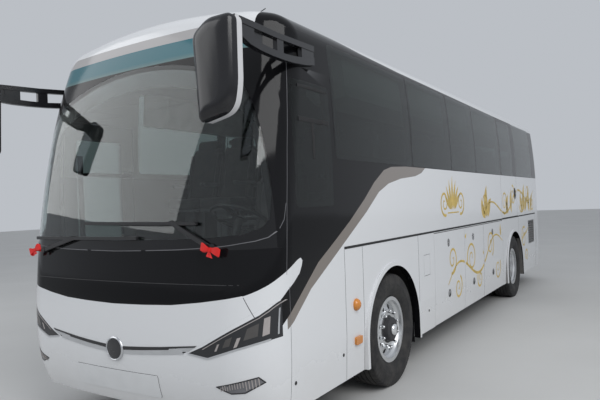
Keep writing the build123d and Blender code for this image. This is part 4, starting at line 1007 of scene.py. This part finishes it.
lid_low, lid_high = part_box("engine_door")
field_inner, field_outer = 0.100, 0.800
slat_pitch = 0.032
lid_back, slats, catches = Shape(), Shape(), Shape()
for sign in (1, -1):
    for low, high in ((lid_high.z - 0.375, lid_high.z - 0.085),
                      (lid_low.z + 0.120, lid_low.z + 0.250)):
        field = rounded((field_inner, field_outer), (low, high), 0.020)
        lid_back.patch(on_half(field, sign), on_tail, 0.0012, 0.05)
        for number in range(int((high - low) / slat_pitch)):
            z = low + 0.020 + slat_pitch * number
            ends = on_half([(field_inner + 0.018, z), (field_outer - 0.018, z)], sign)
            slats.ribbon(line(*ends, 0.06), 0.021, on_tail, 0.0075)
lid_back.finish("engine_lid_gaps", satin_black, "engine_lid", "black_plastic")
slats.finish("engine_lid_slats", plate_white, "engine_lid", "white_paint")
for x in (-0.62, 0.62):
    catches.lathe([(0.0, 0.0), (0.0, 0.024), (0.004, 0.024), (0.005, 0.020), (0.002, 0.017),
                   (0.002, 0.0)], *on_tail(x, lid_low.z + 0.060), 28)
catches.patch(rounded((-0.075, 0.075), (lid_low.z + 0.042, lid_low.z + 0.078), 0.014), on_tail,
              0.006, 0.02)
catches.finish("engine_lid_catches", satin_black, "engine_lid", "black_plastic")

amber_field = [(1.060, 1.150), (1.172, 1.150), (1.174, 1.310), (1.086, 1.310)]
clear_field = [(1.030, 0.900), (1.168, 0.895), (1.169, 0.985), (1.040, 0.985)]
for name, material, outline in (("amber", amber, amber_field), ("clear", lamp_light, clear_field)):
    field = Shape()
    for sign in (1, -1):
        field.patch(on_half(outline, sign), on_tail, 0.004, 0.025)
    field.finish(f"tail_lamp_{name}", material, "coach", "lamp_lens")
fields, reflectors, tail_seams = Shape(), Shape(), Shape()
for sign in (1, -1):
    for z, inner in ((1.140, 1.052), (0.995, 1.036), (0.890, 1.026)):
        fields.ribbon(line(*on_half([(inner, z), (1.176, z)], sign), 0.03), 0.006, on_tail, 0.005)
    reflectors.patch(on_half(rounded((0.840, 1.000), (0.440, 0.480), 0.010), sign), on_tail,
                     0.006, 0.03)
    ends = on_half([(0.965, lid_low.z), (1.180, lid_low.z)], sign)
    tail_seams.ribbon(line(*ends, 0.04), 0.005, on_tail, 0.0008)
fields.finish("tail_lamp_bars", seal_black, "coach", "black_plastic")
reflectors.finish("rear_reflectors", red_lens, "coach", "red_lens")
tail_seams.finish("tail_seams", seam_grey, "coach", "black_plastic")


# Ribbon bows tied to the wiper arms
ribbon_thick = 0.0012


def cloth_strip(shape, points, widths, turn):
    """A strip of ribbon, as wide as widths along Z before turn tilts it; gives length and area."""
    rings, length, area = [], 0.0, 0.0
    for i, point in enumerate(points):
        ahead = (points[min(i + 1, len(points) - 1)] - points[max(i - 1, 0)]).normalized()
        up = Vector((1, 0, 0)) if abs(ahead.z) > 0.7 else Vector((0, 0, 1))
        side = ahead.cross(up).normalized() * ribbon_thick / 2
        half = up * widths[i] / 2
        rings.append([turn @ p for p in (point + half + side, point + half - side,
                                         point - half - side, point - half + side)])
        if i:
            run = (point - points[i - 1]).length
            length += run
            area += run * (widths[i] + widths[i - 1]) / 2
    shape.skin(rings)
    return length, area


def bow(name, x, z, reach, tilt):
    """A bow of two puffed loops and two short tails, gathered at the knot."""
    centre = on_nose(x, z)[0] + Vector((0, -0.055, 0))
    turn = Matrix.Translation(centre) @ Matrix.Rotation(math.radians(tilt), 4, "Y")
    steps, strips = 20, []
    for sign in (1, -1):
        loop, widths = [], []
        for i in range(steps + 1):
            share = i / steps
            out = math.sin(math.pi * share)
            loop.append(Vector((sign * reach * out,
                                -0.020 * math.cos(math.pi * share) * out ** 0.5,
                                0.006 * math.sin(math.tau * share))))
            widths.append(0.016 + 0.056 * out ** 0.9 * (1 - 0.5 * out ** 6))
        strips.append((loop, widths))
        tail = [Vector((0.004 + 0.004 * i + sign * 0.003 * i, -0.014 - 0.002 * i,
                        -0.008 - 0.009 * i)) for i in range(5)]
        strips.append((tail, [0.014 + 0.004 * i for i in range(5)]))
    turns = [math.tau * i / 12 for i in range(12)]
    knot = [Vector((0.011 * math.sin(t), -0.016 * math.cos(t), 0)) for t in turns]
    strips.append((knot, [0.026] * len(knot)))
    shape = Shape()
    sizes = [cloth_strip(shape, points, widths, turn) for points, widths in strips]
    length, area = (sum(column) for column in zip(*sizes))
    piece = shape.finish(name, bow_red, "coach", "seat_fabric")


bow("bow_left", 0.915, 1.440, 0.082, 14)
bow("bow_right", -0.990, 1.425, 0.075, -20)


# Mirrors: rounded housings on deep arms, in place of the plainer CAD ones
mirror_deep = 0.135
# Corners of the housing seen from the front: across, height, rounding
shell_corners = [(1.112, 2.214, 0.035), (1.345, 2.262, 0.085), (1.380, 2.420, 0.060),
                 (1.386, 2.828, 0.055), (1.210, 2.828, 0.050), (1.080, 2.748, 0.050)]
# Rings of the housing and its glass: behind its front, drawn in by
shell_rings = [(0.0, 0.085), (0.003, 0.055), (0.011, 0.028), (0.026, 0.010), (0.048, 0.0),
               (0.128, 0.0), (mirror_deep, 0.007), (mirror_deep, 0.015),
               (mirror_deep - 0.010, 0.016)]
glass_rings = [(mirror_deep - 0.0095, 0.020), (mirror_deep - 0.005, 0.020)]
arm_tip = Vector((1.345, cad_low.y + mirror_deep - 0.010, 0))
arm_root = Vector((half_width - 0.032, front_y - 1.300, 0))
arm_ahead = (arm_root - arm_tip).normalized()
arm_across = Vector((-arm_ahead.y, arm_ahead.x, 0))
arm_half = 0.021
# Rails of the arm: along it from the mirror, low, high
arm_top = [(-0.04, 2.792, 2.828), (0.20, 2.798, 2.838), (0.48, 2.808, 2.847),
           (0.80, 2.828, 2.868), (1.04, 2.842, 2.885)]
arm_belly = [(-0.04, 2.735, 2.780), (0.05, 2.708, 2.757), (0.13, 2.687, 2.738),
             (0.25, 2.678, 2.724), (0.40, 2.677, 2.722), (0.56, 2.682, 2.727),
             (0.70, 2.692, 2.740), (0.90, 2.716, 2.768), (1.04, 2.742, 2.800)]
# Webs between the rails: start, end, near and far face across the arm
arm_webs = [(-0.04, 0.18, -0.016, 0.016), (0.47, 0.56, -0.016, 0.016),
            (0.84, 1.04, -0.016, 0.016), (0.17, 0.31, 0.004, 0.016)]


def soften(corners):
    """Outline of a polygon with its corners rounded off."""
    steps = 8
    ring = []
    for i, (x, z, size) in enumerate(corners):
        here = Vector((x, z))
        back = (Vector(corners[i - 1][:2]) - here).normalized() * size
        ahead = (Vector(corners[(i + 1) % len(corners)][:2]) - here).normalized() * size
        ring += [here + back * (1 - s / steps) ** 2 + ahead * (s / steps) ** 2
                 for s in range(steps + 1)]
    return ring


def drawn_in(ring, by):
    """The outline moved in towards its middle."""
    low = Vector((min(p.x for p in ring), min(p.y for p in ring)))
    high = Vector((max(p.x for p in ring), max(p.y for p in ring)))
    middle, half = (low + high) / 2, (high - low) / 2
    return [Vector((middle.x + (p.x - middle.x) * (1 - by / half.x),
                    middle.y + (p.y - middle.y) * (1 - by / half.y))) for p in ring]


def housing(shape, sign, rings):
    outline = soften(shell_corners)
    shape.skin([[(sign * p.x, cad_low.y + behind, p.y) for p in drawn_in(outline, by)]
                for behind, by in rings])


def height_at(rail, along, index):
    for a, b in zip(rail, rail[1:]):
        if along <= b[0]:
            return a[index] + (b[index] - a[index]) * (along - a[0]) / (b[0] - a[0])
    return rail[-1][index]


def arm_plate(shape, sign, stations, near, far):
    """A plate of the arm between stations (along, low, high)."""
    rings = []
    for along, low, high in stations:
        corners = [(arm_tip + arm_ahead * along + arm_across * across, z)
                   for across, z in ((near, low), (near, high), (far, high), (far, low))]
        rings.append([(sign * spot.x, spot.y, z) for spot, z in corners])
    shape.skin(rings)


mirror_shape = Shape()
for side, sign in sides.items():
    housing(mirror_shape, sign, shell_rings)
    arm_plate(mirror_shape, sign, arm_top, -arm_half, arm_half)
    arm_plate(mirror_shape, sign, arm_belly, -arm_half, arm_half)
    for start, end, near, far in arm_webs:
        alongs = [start + (end - start) * i / 6 for i in range(7)]
        stations = [(along, height_at(arm_belly, along, 2) - 0.006,
                     height_at(arm_top, along, 1) + 0.006) for along in alongs]
        arm_plate(mirror_shape, sign, stations, near, far)
    glass = Shape()
    housing(glass, sign, glass_rings)
    glass.finish(f"mirror_glass_{side}", mirror_glass, "coach", "polished_rim")
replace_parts(mirror_shape.finish("mirrors_on_arms", mirror_shell(), "coach", "black_plastic"),
            "mirrors")


# Seats
def seat(width):
    """A coach seat: pads, wings, headrest, arms and pedestal, foot at the origin."""
    pads, supports = Shape(), Shape()
    half = width / 2
    pads.block((-half + 0.02, 0.02, 0.355), (half - 0.02, 0.45, 0.475), 0.045, 4)
    lean = Matrix.Rotation(math.radians(-12.5), 3, "X")
    pads.block((-half + 0.02, 0.405, 0.42), (half - 0.02, 0.505, 1.04), 0.045, 4, lean)
    pads.block((-half + 0.07, 0.475, 0.93), (half - 0.07, 0.585, 1.13), 0.045, 4, lean)
    for sign in (1, -1):
        near, far = sorted((sign * (half - 0.055), sign * (half - 0.004)))
        pads.block((near, 0.385, 0.46), (far, 0.485, 0.98), 0.022, 3, lean)
        near, far = sorted((sign * (half - 0.035), sign * half))
        supports.block((near, 0.12, 0.600), (far, 0.46, 0.640), 0.012, 3)
    supports.block((-half + 0.03, 0.03, 0.330), (half - 0.03, 0.43, 0.358), 0.008)
    for y in (0.14, 0.30):
        supports.block((-0.06, y, 0.002), (0.06, y + 0.03, 0.335), 0.006)
    supports.block((-0.06, 0.125, 0.0008), (0.06, 0.33, 0.014), 0.003)
    return pads, supports


def copies(shape, places):
    """The shape at each of the places."""
    joined = Shape()
    for place in places:
        joined.add([v + Vector(place) for v in shape.vertices], shape.faces)
    return joined


row_pitch = 0.790
first_row = front_y - 0.480
rows = [first_row + number * row_pitch for number in range(10)]
exit_row = front_y + (emergency[0] + emergency[1]) / 2
seat_places = [(sign * x, y, deck_z) for y in rows for sign in (1, -1) for x in (0.490, 0.940)
               if sign < 0 or abs(y + 0.280 - exit_row) > row_pitch / 2]
low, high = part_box("driver_seat")
driver_place = [((low.x + high.x) / 2, low.y, low.z)]
for width, places, pad_name, frame_name, node in (
        (0.44, seat_places, "seat_pads", "seat_frames", "passenger_seats"),
        (0.50, driver_place, "driver_pads", "driver_seat_frame", "driver_seat")):
    pads, supports = seat(width)
    padding = copies(pads, places).finish(pad_name, seat_cloth, "coach", "seat_fabric")
    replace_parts(padding, node)
    copies(supports, places).finish(frame_name, plastic_grey, "coach", "grey_plastic")


# Floor, light and camera
reach = 60.0
floor = bpy.data.meshes.new("floor")
floor.from_pydata([(-reach, -reach, 0), (reach, -reach, 0), (reach, reach, 0), (-reach, reach, 0)],
                  [], [(0, 1, 2, 3)])
floor_piece = bpy.data.objects.new("floor", floor)
scene.collection.objects.link(floor_piece)
ground = Finish("floor", (0.56, 0.56, 0.55), 0.8)
ground.set("Base Color", ground.mix(ground.noise(0.6, 5.0), (0.52, 0.52, 0.51), (0.60, 0.60, 0.59)))
floor.materials.append(ground.material)

world = bpy.data.worlds.new("world")
scene.world = world
world.use_nodes = True
background = world.node_tree.nodes["Background"]
background.inputs["Color"].default_value = (0.80, 0.84, 0.90, 1.0)
background.inputs["Strength"].default_value = 0.62


def softbox(name, place, aim, size, power):
    lamp = bpy.data.lights.new(name, "AREA")
    lamp.shape = "RECTANGLE"
    lamp.size, lamp.size_y = size
    lamp.energy = power
    holder = bpy.data.objects.new(name, lamp)
    holder.location = place
    holder.rotation_euler = (Vector(aim) - Vector(place)).to_track_quat("-Z", "Y").to_euler()
    scene.collection.objects.link(holder)


softbox("key", (9, -7, 9), (0, 0, 1.2), (8, 8), 850)
softbox("fill", (-8, -10, 7), (0, -2, 1.2), (8, 8), 330)

camera = bpy.data.cameras.new("camera")
camera.sensor_width = 36.0
camera.lens = 34.38
camera.clip_end = 200
eye = bpy.data.objects.new("camera", camera)
scene.collection.objects.link(eye)
scene.camera = eye
eye_place = Vector((3.4006, front_y - 4.9779, 1.710))
turn = (Matrix.Rotation(math.radians(32.10), 4, "Z") @ Matrix.Rotation(math.radians(90.464), 4, "X")
        @ Matrix.Rotation(math.radians(-2.326), 4, "Z"))
eye.matrix_world = Matrix.Translation(eye_place) @ turn
scene.view_settings.view_transform = "Standard"
